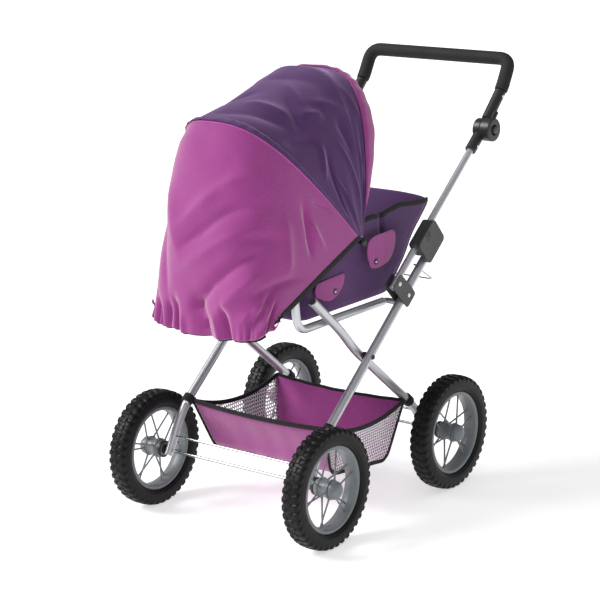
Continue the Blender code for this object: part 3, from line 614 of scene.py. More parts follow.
def spoke_mesh(side, angle, lean):
    """One spoke: a bar from a hub flange out to the middle of the rim, thicker at the hub."""
    t = np.linspace(0, 1, 10)
    start = np.array([side * 0.0100, 0.0150 * math.cos(angle), 0.0150 * math.sin(angle)])
    reach = 0.0665
    end = np.array([side * 0.0025, reach * math.cos(lean), reach * math.sin(lean)])
    path = start + (end - start) * t[:, None]
    scale = 1.25 - 0.25 * np.clip(t * 6, 0, 1) + 0.35 * np.clip(t * 8 - 7, 0, 1)
    return swept(path, circle(0.0015, 10), (1.0, 0.0, 0.0), scale=scale)


def rim_mesh():
    """Deep rim with a rolled lip, hub barrel with two flanges, and twelve crossed spokes."""
    ring = rounded_profile([
        (0.0727, 0.0), (0.0727, 0.0118), (0.0716, 0.0134), (0.0680, 0.0136), (0.0655, 0.0122),
        (0.0640, 0.0060), (0.0630, 0.0), (0.0640, -0.0060), (0.0655, -0.0122), (0.0680, -0.0136),
        (0.0716, -0.0134), (0.0727, -0.0118), (0.0727, 0.0)], 0.0016)
    hub = rounded_profile([
        (0.0030, 0.0118), (0.0168, 0.0118), (0.0170, 0.0085), (0.0150, 0.0070), (0.0140, 0.0),
        (0.0150, -0.0070), (0.0170, -0.0085), (0.0168, -0.0122), (0.0140, -0.0135), (0.0132, -0.0222),
        (0.0030, -0.0222), (0.0030, 0.0118)], 0.0009)
    shells = [turned(ring[:-1], (0, 0, 0), steps=128, closed=True)]
    shells.append(turned(hub[:-1], (0, 0, 0), steps=64, closed=True))
    for index in range(SPOKES):
        side = 1 if index % 2 == 0 else -1
        angle = 2 * math.pi * index / SPOKES
        shells.append(spoke_mesh(side, angle, angle + side * SPOKE_LEAN))
    return joined_mesh("rim", shells)


def placed(mesh, centre, turned_round=False):
    """A copy of a wheel mesh at a hub; the left wheels are turned half round."""
    copy = mesh.copy()
    if turned_round:
        copy.transform(Matrix.Rotation(math.pi, 4, "Z"))
    copy.transform(Matrix.Translation(centre))
    return copy


def make_wheels():
    """Tyre, rim, hub cap and collar, built once and placed at the four hubs."""
    points = tyre_points()
    tyre = clean(build_mesh("tyre", points, grid_quads(*points.shape[:2], True, True)))
    rim = rim_mesh()
    cap = turned(rounded_profile([
        (0.0, 0.0220), (0.0118, 0.0180), (0.0118, 0.0124), (0.0152, 0.0124), (0.0152, 0.0160),
        (0.0146, 0.0205), (0.0110, 0.0246), (0.0056, 0.0264), (0.0, 0.0268)], 0.0012), (0, 0, 0), steps=48)
    collar = turned(rounded_profile([
        (0.0110, -0.0224), (0.0146, -0.0224), (0.0146, -0.0180), (0.0134, -0.0180)], 0.0006),
        (0, 0, 0), steps=48)
    for end in ("front", "rear"):
        for side, sign in SIDES:
            name = f"{end}_{side}"
            hub = joint_point(f"wheel_spin_{name}")
            body = f"wheel_{name}"
            left = sign < 0
            finished(f"tread_{name}", placed(tyre, hub, left), RUBBER, body, [f"tyre_{name}"], 50)
            for piece, mesh, node in (("wheel", rim, "rim"), ("hub_dome", cap, "hub_cap")):
                finished(f"{piece}_{name}", placed(mesh, hub, left), GREY, body,
                         [f"{node}_{name}"])
            finished(f"hub_collar_{name}", placed(collar, hub, left), BLACK, body)


# ---------------------------------------------------------------- frame
def both_sides(name, make, material, bodies, replaces=""):
    """The right-hand mesh and its mirror image, each riding on its side's body."""
    for side, sign in SIDES:
        mesh = make()
        if sign < 0:
            mesh.transform(Matrix.Scale(-1.0, 4, (1.0, 0.0, 0.0)))
            mesh.flip_normals()
        body = bodies.format(side=side)
        nodes = [f"{node}_{side}" for node in replaces.split()]
        finished(f"{name}_{side}", mesh, material, body, nodes)


def cross_rod(place, x_from, x_to, radius):
    """A straight rod across the stroller through a side-view place."""
    return tube_mesh(np.linspace(on_side(place, x_from), on_side(place, x_to), 24), radius, (0, 0, 1), 16)


def make_axles():
    """Axle and stay rod at each end, and the black spacers between the hubs and the tubes."""
    reach = FRONT_HUB[0] + 0.0190
    for end, body in ENDS:
        hub = FRONT_HUB if end == "front" else REAR_HUB
        rod = cross_rod(hub, -reach, reach, 0.0025)
        finished(f"axle_rod_{end}", rod, STEEL, body, [f"axle_{end}"])
        low, high = (np.array(corner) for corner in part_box(f"stay_rod_{end}"))
        middle = (low + high) / 2
        rod = cross_rod(middle, low[0], high[0], 0.0020)
        finished(f"stay_bar_{end}", rod, STEEL, body, [f"stay_rod_{end}"])
        inner = (CHASSIS_X if end == "front" else LEG_X) + FRAME_RADIUS + GAP
        outer = FRONT_HUB[0] - 0.0229
        sleeve = rounded_profile([(0.0029, inner), (0.0085, inner), (0.0085, outer), (0.0029, outer),
                                  (0.0029, inner)], 0.0006)
        both_sides(f"spacer_{end}", lambda: turned(sleeve[:-1], on_side(hub, 0.0), steps=32, closed=True),
                   BLACK, body, f"axle_spacer_{end}")


def leg_corners(x):
    """The rear leg's corners from its free top to just past the rear axle."""
    ends = [at(x, -0.1350, 0.3920), at(x, -0.0600, 0.3260), at(x, -0.0240, 0.2860), at(x, 0.1500, 0.1420)]
    hub = on_side(REAR_HUB, x)
    return ends + [hub + (hub - ends[-1]) / np.linalg.norm(hub - ends[-1]) * 0.0090]


def chassis_corners():
    """The chassis tube's corners from just past the front axle to its end under the lock block."""
    hub = on_side(FRONT_HUB, CHASSIS_X)
    bend = at(CHASSIS_X, -0.1400, 0.1655)
    foot = hub + (hub - bend) / np.linalg.norm(hub - bend) * 0.0090
    return [foot, bend, at(CHASSIS_X, 0.1560, 0.4118)]


def make_frame_tubes():
    """The two pairs of crossed tubes, the legs' end plugs and the rivets that the X turns on."""
    both_sides("chassis_bar", lambda: tube_mesh(bent_path(chassis_corners(), 0.030), FRAME_RADIUS),
               SILVER, "chassis", "chassis_tube")
    both_sides("leg_bar", lambda: tube_mesh(bent_path(leg_corners(LEG_X), 0.030), FRAME_RADIUS),
               SILVER, "rear_frame", "rear_leg")
    corners = leg_corners(LEG_X)
    away = (corners[0] - corners[1]) / np.linalg.norm(corners[0] - corners[1])
    plug = [(0.0, 0.0004), (0.0068, 0.0004), (0.0068, 0.0014),
            (0.0052, 0.0021), (0.0042, 0.0013), (0.0, 0.0013)]
    both_sides("leg_plug", lambda: turned(rounded_profile(plug, 0.0004), corners[0], away, 32),
               CHARCOAL, "rear_frame", "leg_end_cap")
    face_in = LEG_X - FRAME_RADIUS - GAP
    face_out = CHASSIS_X + FRAME_RADIUS + GAP
    pin = [(0.0, face_in - 0.0014), (0.0040, face_in - 0.0011), (0.0044, face_in), (0.0022, face_in),
           (0.0022, 0.1379), (0.0066, 0.1381), (0.0066, 0.1419), (0.0022, 0.1421),
           (0.0022, face_out), (0.0044, face_out), (0.0036, face_out + 0.0013), (0.0, face_out + 0.0017)]
    both_sides("crossing_rivet", lambda: turned(rounded_profile(pin, 0.0003), CROSSING, steps=32),
               BLACK, "chassis", "crossing_pin")


def on_handle(along, lift=0.0, x=0.0):
    """A point measured up the handle tube from its pivot, and square to it."""
    return on_side(HANDLE_PIVOT, x) + HANDLE_DIRECTION * along + HANDLE_SQUARE * lift


def make_handle_tubes():
    """Handle tubes, and the folded plates with two rivets that carry them on the chassis tubes."""
    path = np.linspace(on_handle(-0.0120, 0, CHASSIS_X), on_handle(0.3150, 0, CHASSIS_X), 60)
    both_sides("handle_bar", lambda: tube_mesh(path, HANDLE_RADIUS), SILVER, "handle_frame",
               "handle_tube")
    outline = [on_handle(along, lift)[1:] for along, lift in (
        (-0.0170, 0.0100), (0.0130, 0.0110), (0.0190, -0.0290), (0.0190, -0.0495), (-0.0130, -0.0495))]
    web = [on_handle(along, lift)[1:] for along, lift in (
        (-0.0060, -0.0489), (0.0120, -0.0489), (0.0120, -0.0467), (-0.0060, -0.0467))]
    outer = CHASSIS_X + FRAME_RADIUS + GAP
    inner = CHASSIS_X - FRAME_RADIUS - GAP
    rivet = np.array([0.0, 0.0920 + MIDDLE_Y, 0.3586])

    def bracket():
        """Two cheeks beside the chassis tube and the web that joins them."""
        return joined_mesh("bracket", [
            plate_mesh(outline, outer, outer + 0.0020, 0.006),
            plate_mesh(outline, inner - 0.0018, inner, 0.006),
            plate_mesh(web, inner - 0.0010, outer + 0.0010, 0.0006)])

    both_sides("bracket_plate", bracket, CHARCOAL, "chassis", "bracket")
    head = outer + 0.0020
    both_sides("bracket_rivet", lambda: dome_mesh(on_side(rivet, head), (1, 0, 0), 0.0036, 0.0014),
               WHITE, "chassis")
    both_sides("pivot_rivet", lambda: dome_mesh(on_side(HANDLE_PIVOT, head), (1, 0, 0), 0.0038, 0.0016),
               WHITE, "chassis", "handle_pivot_pin")


def make_sliders():
    """Lock block: a rounded body round the tube, and a flat cheek beside the lower tube's end."""
    middle = on_handle(SLIDER_ALONG, -0.0035)
    corners = [on_handle(SLIDER_ALONG + side * SLIDER_HALF, lift)[1:] for side, lift in (
        (-1, -0.0365), (-1, 0.0140), (1, 0.0140), (1, -0.0365))]

    def slider():
        """The block round the handle tube and the cheek beside the chassis tube's end."""
        body = block_mesh(on_side(middle, 0.14955), (0.00905, SLIDER_HALF, 0.0155), 0.0060,
                          along=HANDLE_DIRECTION)
        return joined_mesh("slider", [body, plate_mesh(corners, 0.1580, 0.1665, 0.0090)])

    def grip_ribs():
        """Three short raised ribs on the block's outer face."""
        places = [on_handle(SLIDER_ALONG + 0.0050 * step, 0.0030, 0.1667) for step in (-1, 0, 1)]
        return joined_mesh("ribs", [block_mesh(place, (0.0006, 0.0011, 0.0070), 0.0005,
                                               along=HANDLE_DIRECTION, steps=8) for place in places])

    both_sides("lock_block", slider, CHARCOAL, "lock_slider_{side}",
               "lock_slider lock_cheek")
    both_sides("lock_ribs", grip_ribs, CHARCOAL, "lock_slider_{side}")


def make_bail():
    """Thin wire from side to side that the two lock blocks are lifted with."""
    end_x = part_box("lock_bail")[1][0]
    arm = 0.1377
    bar = at(0.0, 0.1960, 0.3620)
    right = [on_side(BAIL_PIVOT, end_x), on_side(BAIL_PIVOT, arm), on_side(bar, arm)]
    path = bent_path(right + [flipped(point) for point in right[::-1]], 0.008, 0.003)
    middle = (BAIL_PIVOT + bar) / 2
    reference = np.cross([1.0, 0.0, 0.0], bar - middle)
    mesh = swept(path, circle(0.0013, 12), reference)
    finished("bail_wire", mesh, STEEL, "lock_bail", ["lock_bail"])


GRIP_START = at(CHASSIS_X, 0.3915, 0.6645)
GRIP_ELBOW = at(CHASSIS_X, 0.3985, 0.6735)
BAR_CORNER = at(CHASSIS_X, 0.4220, 0.7165)


def make_handle_hinges():
    """Ratchet hinge of each side: barrel and arm below, disc and sleeve above, button and rivets."""
    hub = on_side(HINGE, 0.0)
    centre = on_side(HINGE, CHASSIS_X)
    out = (GRIP_START - centre) / np.linalg.norm(GRIP_START - centre)

    def lower():
        """The fixed half: its barrel and the arm down into the handle tube."""
        barrel = turned(rounded_profile([
            (0.0, 0.1405), (0.0185, 0.1405), (0.0185, 0.1555), (0.0, 0.1555)], 0.0022), hub, steps=48)
        start = on_handle(0.2960, 0.0, CHASSIS_X)
        end = centre - HANDLE_DIRECTION * 0.004
        arm = tube_mesh(np.linspace(start, end, 24), 0.0100, sides=32, chamfer=0.0012)
        return joined_mesh("lower", [barrel, arm])

    def upper():
        """The turning half: a recessed disc, the sleeve up to the grip and a cheek."""
        disc = turned(rounded_profile([
            (0.0, 0.1655), (0.0090, 0.1655), (0.0090, 0.1738), (0.0098, 0.1750), (0.0192, 0.1750),
            (0.0205, 0.1732), (0.0205, 0.1562), (0.0, 0.1562)], 0.0010), hub, steps=64)
        sleeve = tube_mesh(np.linspace(centre + out * 0.0195, GRIP_START - out * 0.0020, 24), 0.0100,
                           sides=32, chamfer=0.0012)
        beside = centre + np.array([0.0108, 0.0, 0.0])
        cheek = tube_mesh(np.linspace(beside + out * 0.006, beside + out * 0.038, 12), 0.0050)
        return joined_mesh("upper", [disc, sleeve, cheek])

    both_sides("ratchet_lower", lower, BLACK, "handle_frame", "hinge_socket_lower")
    both_sides("ratchet_upper", upper, BLACK, "handle_bar", "hinge_socket_upper")
    button = rounded_profile([(0.0, 0.1696), (0.0068, 0.1696), (0.0068, 0.1782), (0.0, 0.1790)], 0.0016)
    both_sides("press_button", lambda: turned(button, hub, steps=32), CHARCOAL, "hinge_button_{side}",
               "hinge_button")
    lower_rivet = on_handle(0.3080, -0.0010, CHASSIS_X + 0.0098)
    upper_rivet = on_side(centre + out * 0.0720, CHASSIS_X + 0.0098)
    both_sides("lower_rivet", lambda: dome_mesh(lower_rivet, (1, 0, 0), 0.0024, 0.0011), WHITE,
               "handle_frame")
    both_sides("upper_rivet", lambda: dome_mesh(upper_rivet, (1, 0, 0), 0.0024, 0.0011), WHITE,
               "handle_bar")


def make_handle_bar():
    """Foam grip over the bent bar: a thick tube whose skin ripples a little near the bends."""
    right = [GRIP_START, GRIP_ELBOW, BAR_CORNER]
    corners = right + [flipped(point) for point in right[::-1]]
    path = rounded_profile(corners, 0.040, 14)
    path = resampled(path, 150)
    plane = np.cross([1.0, 0.0, 0.0], BAR_CORNER - GRIP_START)
    along = np.linspace(0, 1, len(path))
    ripple = 1 + 0.010 * np.sin(along * 340) * np.exp(-((along % 0.5 - 0.25) / 0.22) ** 6)
    ends = np.clip(np.minimum(along, 1 - along) * 140, 0, 1)
    scale = ripple * (0.93 + 0.07 * np.sqrt(ends))
    mesh = swept(path, circle(0.0118, 40), plane, scale=scale)
    finished("foam_grip", mesh, FOAM, "handle_bar", ["handle_grip", "handle_bar_tube"])


def make_seat_rail():
    """U-shaped rail under the tub, and the thinner ends that turn out to the brackets."""
    right = [at(RAIL_X, 0.0830, 0.3430), at(RAIL_X, -0.1520, 0.3430), at(RAIL_X, -0.1600, 0.4320)]
    path = bent_path(right + [flipped(point) for point in right[::-1]], 0.026)
    mesh = bar_along(resampled(path, len(path)), 0.0070)
    finished("seat_tube", mesh, SILVER, "chassis", ["seat_rail"])
    turn = at(RAIL_X, 0.0925, 0.3430)
    insert = bent_path([at(RAIL_X, 0.0834, 0.3430), turn, on_side(turn, 0.1399)], 0.007, 0.002)
    both_sides("seat_tube_end", lambda: swept(insert, circle(0.0050, 20), (0, 0, 1)), SILVER, "chassis",
               "rail_insert")


# ---------------------------------------------------------------- hood
FRONT_BOW = {"reach": 0.2800, "lean": math.radians(-8.5), "power": 2.95, "half": 0.1175}
MIDDLE_BOW = {"reach": 0.2840, "lean": math.radians(1.0), "power": 2.75, "half": 0.1139}
SEAM_BOW = {"reach": 0.3215, "lean": math.radians(45.5), "power": 2.78, "half": 0.1103}
HOOD_HALF = 0.1210
HOOD_FOOT = 0.014
BOW_FOOT = 0.0085
BOW_INSET = 0.0075


def arch(bow, half, reach, angle):
    """Points of a leaning superellipse arch over the pivot line, right foot first."""
    power = 2.0 / bow["power"]
    across = half * np.sign(np.cos(angle)) * np.abs(np.cos(angle)) ** power
    rise = reach * np.abs(np.sin(angle)) ** power
    y = HOOD_PIVOT[1] - rise * math.sin(bow["lean"])
    z = HOOD_PIVOT[2] + rise * math.cos(bow["lean"])
    return np.stack([across, y, z], -1)


def arch_angles(count, foot):
    """Angles over the arch, packed closer together towards its two feet."""
    t = np.linspace(0, 1, count)
    return foot + (np.pi - 2 * foot) * (0.5 - 0.5 * np.cos(np.pi * t))


def binding(name, mesh, body="chassis"):
    """A length of black binding; with no body it is left unattached."""
    return finished(name, mesh, BINDING, body)


def foot_angle(bow):
    """The arch angle at which a bow has risen to the height of the hood's feet."""
    return (HOOD_FOOT / bow["reach"]) ** (bow["power"] / 2)


def make_bows():
    """The three steel bows, each a wire arch a little inside the cloth."""
    for name, bow, body in (("front", FRONT_BOW, "hood_bow_front"),
                            ("middle", MIDDLE_BOW, "hood_bow_middle"), ("seam", SEAM_BOW, "chassis")):
        reach = bow["reach"] - BOW_INSET
        foot = (BOW_FOOT / reach) ** (bow["power"] / 2)
        path = resampled(arch(bow, bow["half"], reach, arch_angles(160, foot)), 140)
        plane = np.array([0.0, math.cos(bow["lean"]), math.sin(bow["lean"])])
        mesh = swept(path, circle(0.0016, 12), plane)
        finished(f"bow_wire_{name}", mesh, STEEL, body, [f"hood_bow_{name}"])


def fold_relief(folds, across, down, length, angle):
    """Sum of straight folds, each a bell across its line that fades at its two ends.

    A fold runs between two (angle in degrees, share down) places; its width and height are metres.
    Places are turned to metres along the cloth before distances are taken.
    """
    relief = np.zeros(np.broadcast(across, down).shape)
    for (angle_from, down_from), (angle_to, down_to), width, height in folds:
        start = np.array([np.interp(math.radians(angle_from), angle, across[0]), down_from * length])
        run = np.array([np.interp(math.radians(angle_to), angle, across[0]), down_to * length]) - start
        reach = np.linalg.norm(run)
        share = ((across - start[0]) * run[0] + (down - start[1]) * run[1]) / reach ** 2
        ends = 1 / (1 + np.exp(-(share + 0.02) * 11)) / (1 + np.exp((share - 1.02) * 11))
        away = ((across - start[0]) * run[1] - (down - start[1]) * run[0]) / reach
        relief = relief + height * ends * np.exp(-(np.abs(away) / width) ** 1.6)
    return relief


def arc_lengths(row):
    """Running length along a row of points, from zero."""
    return np.concatenate([[0.0], np.cumsum(np.linalg.norm(np.diff(row, axis=0), axis=1))])[None]


CANOPY_FOLDS = {
    "front": (
        ((24, 0.74), (5, 0.28), 0.006, 0.0022), ((60, 0.75), (40, 0.30), 0.008, 0.0020),
        ((150, 0.70), (172, 0.30), 0.007, 0.0022)),
    "rear": (
        ((59, 0.29), (43, 0.02), 0.010, 0.0055), ((41, 0.17), (27, 0.10), 0.009, -0.0065),
        ((30, 0.26), (8, 0.04), 0.007, 0.0045), ((96, 0.22), (66, 0.13), 0.016, -0.0045),
        ((128, 0.03), (150, 0.17), 0.012, -0.0045), ((160, 0.22), (175, 0.05), 0.007, 0.0035),
        ((112, 0.16), (134, 0.25), 0.012, 0.0035), ((46, 0.86), (40, 0.56), 0.013, -0.0080),
        ((57, 0.49), (50, 0.33), 0.010, 0.0060), ((34, 0.54), (24, 0.74), 0.006, 0.0060),
        ((28, 0.52), (8, 0.76), 0.007, -0.0060), ((18, 0.53), (2, 0.42), 0.006, 0.0045),
        ((92, 0.87), (57, 0.73), 0.014, -0.0055), ((88, 0.67), (62, 0.60), 0.012, 0.0050),
        ((120, 0.57), (140, 0.82), 0.013, -0.0050), ((155, 0.57), (174, 0.79), 0.007, 0.0035),
        ((104, 0.64), (92, 0.48), 0.012, -0.0040), ((72, 0.45), (50, 0.62), 0.010, -0.0040),
        ((84, 0.30), (60, 0.42), 0.011, 0.0035)),
}
CANOPY_LAP = 1.012      # each bay runs this far past its second bow


def canopy_grid(name, one, two, rows, columns):
    """Cloth drawn straight from bow to bow, a little slack, and gathered into folds at its feet.

    Each point lies between the two arches at its share of the way. Along the normal are added a sag by the
    half sine of the share to the power 1.5, sines that fan out near the feet and drift elsewhere, and the
    folds; all of it fades out at the feet.
    """
    angle = arch_angles(columns, foot_angle(FRONT_BOW))
    v = np.linspace(0.0, CANOPY_LAP, rows)[:, None]
    first, second = (arch(bow, HOOD_HALF, bow["reach"], angle) for bow in (one, two))
    points = first * (1 - v[..., None]) + second * v[..., None]
    out = surface_normals(points)
    rise = np.sin(angle)[None]
    foot = np.exp(-(rise / 0.42) ** 2)
    slack = np.sin(np.pi * np.clip(v, 0, 1))
    length = np.linalg.norm(np.diff(points[:, columns // 2], axis=0), axis=-1).sum()
    sag = -0.018 * length * slack ** 1.5 * rise ** 0.8
    settled = np.clip(rise * 5, 0, 1)
    fans = 0.0016 * foot * slack * np.sin(2 * np.pi * (v * 2.6 + 0.15) + 3.0 * rise)
    drift = 0.0012 * np.sin(7.0 * angle[None] + 5.0 * v) * slack * rise
    across = arc_lengths(points[rows // 2])
    folds = fold_relief(CANOPY_FOLDS[name], across, v * length, length, angle) * slack ** 0.5
    return points + out * ((sag + fans + drift + folds) * settled)[..., None], angle, v


def make_canopy():
    """Two cloth bays, front and rear of the middle bow.

    The rear bay steps out by a smooth step just before the seam, rippled by a sine, behind a stitched groove.
    """
    for name, one, two, bodies, rows in (
            ("front", FRONT_BOW, MIDDLE_BOW, ("hood_bow_front", "hood_bow_middle"), 21),
            ("rear", MIDDLE_BOW, SEAM_BOW, ("hood_bow_middle", "chassis"), 101)):
        points, angle, bay = canopy_grid(name, one, two, rows, 281)
        if name == "rear":
            out = surface_normals(points)
            near_seam = 1 / (1 + np.exp(-(bay - 0.950) / 0.0035))
            ruffle = 0.0022 + 0.0005 * np.sin(46 * angle[None] + 6 * bay)
            stitched = -0.0010 * np.exp(-((bay - 0.947) / 0.007) ** 2)
            points = points + out * ((near_seam * ruffle + stitched) * np.sin(angle)[None] ** 0.4)[..., None]
        replaces = ["hood_canopy"] if name == "front" else []
        piece = cloth_piece(f"hood_{name}_cloth", points, PURPLE, None, replaces)
        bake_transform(piece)


def make_brim():
    """Padded pink edge: a crescent that stands forward of the front bow and folds back inside.

    Each point is the bow's arch point moved forward and outward by amounts that follow the turn round the
    edge; both shrink towards the feet and, by a power of the sine, towards the top.
    """
    angle = arch_angles(161, foot_angle(FRONT_BOW))
    edge = arch(FRONT_BOW, HOOD_HALF, FRONT_BOW["reach"], angle)
    lean = FRONT_BOW["lean"]
    forward = np.array([0.0, math.cos(lean), math.sin(lean)])
    outward = edge - (HOOD_PIVOT + forward * ((edge - HOOD_PIVOT) @ forward)[:, None])
    outward /= np.linalg.norm(outward, axis=1, keepdims=True)
    taper = np.clip((np.sin(angle)[None] - 0.10) * 2.2, 0, 1) ** 0.7
    turn = np.linspace(0, 1, 34)[:, None]
    ahead = np.interp(turn, (0.0, 0.35, 0.62, 0.70, 1.0), (-0.0060, 0.0080, 0.0275, 0.0300, 0.0040))
    ahead = ahead * (1.0 - 0.62 * np.sin(angle)[None] ** 3)
    lift = np.interp(turn, (0.0, 0.06, 0.20, 0.40, 0.58, 0.66, 0.74, 1.0),
                     (0.0012, 0.0042, 0.0072, 0.0068, 0.0044, 0.0012, -0.0030, -0.0034))
    lift = lift * (1.0 - 0.55 * np.sin(angle)[None] ** 4)
    crease = 0.0009 * np.sin(37 * angle + 1.5 * np.sin(5 * angle))[None] * np.sin(np.pi * turn)
    points = (edge[None] + forward * (ahead * taper)[..., None]
              + outward[None] * ((lift + crease) * taper + 0.0008)[..., None])
    cloth_piece("hood_brim", points, PINK, "hood_bow_front", outward=False)


# ---------------------------------------------------------------- head cover
def hem(angle):
    """The lower edge of the head cover, a superellipse of power 3.6 seen from above.

    Its height falls evenly with its reach towards the head end.
    """
    power = 2.0 / 3.6
    across = HOOD_HALF * np.sign(np.cos(angle)) * np.abs(np.cos(angle)) ** power
    front = np.abs(np.sin(angle)) ** power
    return np.stack([across, -0.2200 - 0.0430 * front + MIDDLE_Y, 0.3740 - 0.0280 * front], -1)


COVER_FOLDS = (
    ((96, 0.46), (57, 0.17), 0.013, 0.0075), ((95, 0.57), (56, 0.32), 0.010, -0.0080),
    ((92, 0.66), (52, 0.43), 0.011, 0.0065), ((86, 0.76), (47, 0.54), 0.012, -0.0115),
    ((91, 0.88), (86, 0.76), 0.009, -0.0075), ((80, 0.86), (46, 0.66), 0.012, 0.0075),
    ((23, 0.16), (10, 0.35), 0.0055, -0.0080), ((17, 0.20), (7, 0.26), 0.006, 0.0060),
    ((20, 0.09), (11, 0.04), 0.005, -0.0036), ((44, 0.76), (8, 0.55), 0.011, -0.0055),
    ((30, 0.30), (18, 0.52), 0.010, 0.0050), ((62, 0.50), (34, 0.42), 0.014, -0.0045),
    ((70, 0.24), (52, 0.12), 0.016, -0.0035), ((84, 0.36), (74, 0.14), 0.018, -0.0030),
    ((40, 0.92), (24, 0.70), 0.010, -0.0060), ((58, 0.90), (30, 0.80), 0.009, 0.0050),
    ((118, 0.30), (100, 0.62), 0.016, 0.0050), ((128, 0.40), (112, 0.80), 0.014, -0.0060),
    ((157, 0.20), (170, 0.38), 0.006, -0.0065), ((150, 0.50), (172, 0.66), 0.011, -0.0055),
    ((140, 0.34), (160, 0.46), 0.012, 0.0050),
    ((103, 1.05), (103, 0.86), 0.0080, -0.0135), ((95, 1.05), (96, 0.93), 0.0050, 0.0060),
    ((88, 1.05), (90, 0.84), 0.0090, -0.0150), ((80, 1.05), (84, 0.90), 0.0055, 0.0050),
    ((72, 1.05), (77, 0.86), 0.0070, -0.0110), ((49, 1.05), (46, 0.86), 0.0090, -0.0050),
    ((14, 1.00), (18, 0.78), 0.0060, -0.0055), ((30, 0.96), (22, 0.80), 0.0080, 0.0040),
    ((113, 1.05), (110, 0.88), 0.0070, -0.0110), ((122, 1.05), (124, 0.90), 0.0060, -0.0080),
    ((134, 1.05), (130, 0.87), 0.0080, -0.0100), ((148, 1.05), (150, 0.88), 0.0060, -0.0070),
    ((166, 1.00), (162, 0.80), 0.0060, -0.0050),
)


def make_head_cover():
    """Cloth from the seam bow down to an elasticated hem, open in front.

    Each point lies between the seam arch and the hem below it; the back is hollowed by a half sine of the
    share down, the folds and two shoulders are added along the normal, and the hem curls in on a half turn.
    """
    rows, columns = 120, 361
    angle = arch_angles(columns, foot_angle(SEAM_BOW))
    down = np.linspace(0, 1, rows)[:, None]
    top = arch(SEAM_BOW, HOOD_HALF, SEAM_BOW["reach"], angle)
    points = top[None] * (1 - down[..., None]) + hem(angle)[None] * down[..., None]
    side = np.sin(angle)[None]
    points[..., 1] -= 0.0180 * np.sin(np.pi * down) * side ** 0.5
    out = surface_normals(points)
    length = np.linalg.norm(np.diff(points[:, columns // 2], axis=0), axis=-1).sum()
    across = arc_lengths(points[rows // 2])
    relief = fold_relief(COVER_FOLDS, across, down * length, length, angle) * np.clip(side * 4, 0, 1)
    gather = np.exp(-((1 - down) / 0.07) ** 2)
    relief += 0.0009 * gather * np.sin(260 * across + 3.5 * np.sin(41 * across)) * side ** 0.5
    relief += 0.0009 * np.sin(47 * across + 9 * down) * np.sin(8 * down + 21 * across) * side
    shoulder = np.exp(-((angle[None] - math.radians(123)) / 0.40) ** 2)
    shoulder = shoulder + 0.5 * np.exp(-((angle[None] - math.radians(57)) / 0.40) ** 2)
    relief += shoulder * (0.0070 * np.exp(-((down - 0.14) / 0.16) ** 2) + 0.0040 * np.sin(np.pi * down))
    relief *= np.clip(down * 14, 0, 1)
    points = points + out * relief[..., None]
    curl = np.linspace(0, 1, 9)[1:, None]
    inward = -out[-1][None]
    lip = points[-1][None] + inward * (0.010 * np.sin(curl * np.pi / 2))[..., None]
    rise = 0.008 * (1 - np.cos(curl * np.pi)) / 2 - 0.003 * np.sin(curl * np.pi)
    lip = lip + np.array([0.0, 0.0, 1.0]) * rise[..., None]
    points = np.concatenate([points, lip])
    cloth_piece("head_cover_cloth", points, PINK, "chassis", ["head_cover"])
    elastic = points[rows + 3, 64:-64] + np.array([0.0, 0.0, -0.0030])
    binding("hem_elastic", bar_along(resampled(elastic, 120), 0.0022, 10))
    for side_name, column, inside in (("right", 0, 1), ("left", -1, -2)):
        path = resampled(points[:rows - 2, column], 70)
        across_edge = points[:rows - 2, inside * 3] - points[:rows - 2, column]
        reference = resampled(across_edge, 70)
        binding(f"cover_binding_{side_name}", tape_mesh(path, reference, 0.0050, 0.0015))
    seam = resampled(points[1, 2:-2], 150)
    finished("seam_piping", bar_along(seam, 0.0011, 8), PINK_TRIM, "chassis")


def make_hood_pivots():
    """Pivot pin and knob at each foot of the hood."""
    outer = HOOD_HALF + GAP
    inner = 0.1056
    pin = rounded_profile([
        (0.0, inner - 0.0020), (0.0060, inner - 0.0020), (0.0060, inner), (0.0028, inner), (0.0028, outer),
        (0.0074, outer), (0.0070, outer + 0.0030), (0.0036, outer + 0.0046), (0.0, outer + 0.0047)], 0.0006)
    both_sides("hood_knob", lambda: turned(pin, on_side(HOOD_PIVOT, 0.0), steps=40), BLACK, "chassis",
               "hood_pivot")


def tab_mesh(outline, x, bulge, thick=0.0016):
    """A cloth tab from its side-view outline, crowned in the middle."""
    ring = resampled(rounded_profile([*outline, outline[0], outline[1]], 0.010, 6)[1:-1], 64, closed=True)
    middle = ring.mean(0)
    share = np.linspace(1, 0.02, 12)[:, None, None]
    flat = middle + (ring - middle)[None] * share
    height = bulge * (1 - share[..., 0] ** 2.4)
    face = np.concatenate([x + thick + height[..., None] + 0 * flat[..., :1], flat], -1)
    back = np.concatenate([x + height[..., None] + 0 * flat[..., :1], flat], -1)
    points = np.concatenate([back[::-1], face])
    count = len(ring)
    rows = len(points)
    caps = (range(count), range((rows - 1) * count, rows * count))
    return clean(build_mesh("tab", points, grid_quads(rows, count, False, True), caps))


def snap_mesh(centre, radius=0.0052):
    """The ring of a press stud, turned from its profile."""
    hole = radius * 0.55
    profile = rounded_profile([(hole, 0.0), (radius, 0.0), (radius, 0.0012), (radius * 0.8, 0.0020),
                               (hole, 0.0014), (hole, 0.0)], 0.0003)
    return turned(profile[:-1], centre, steps=32, closed=True)


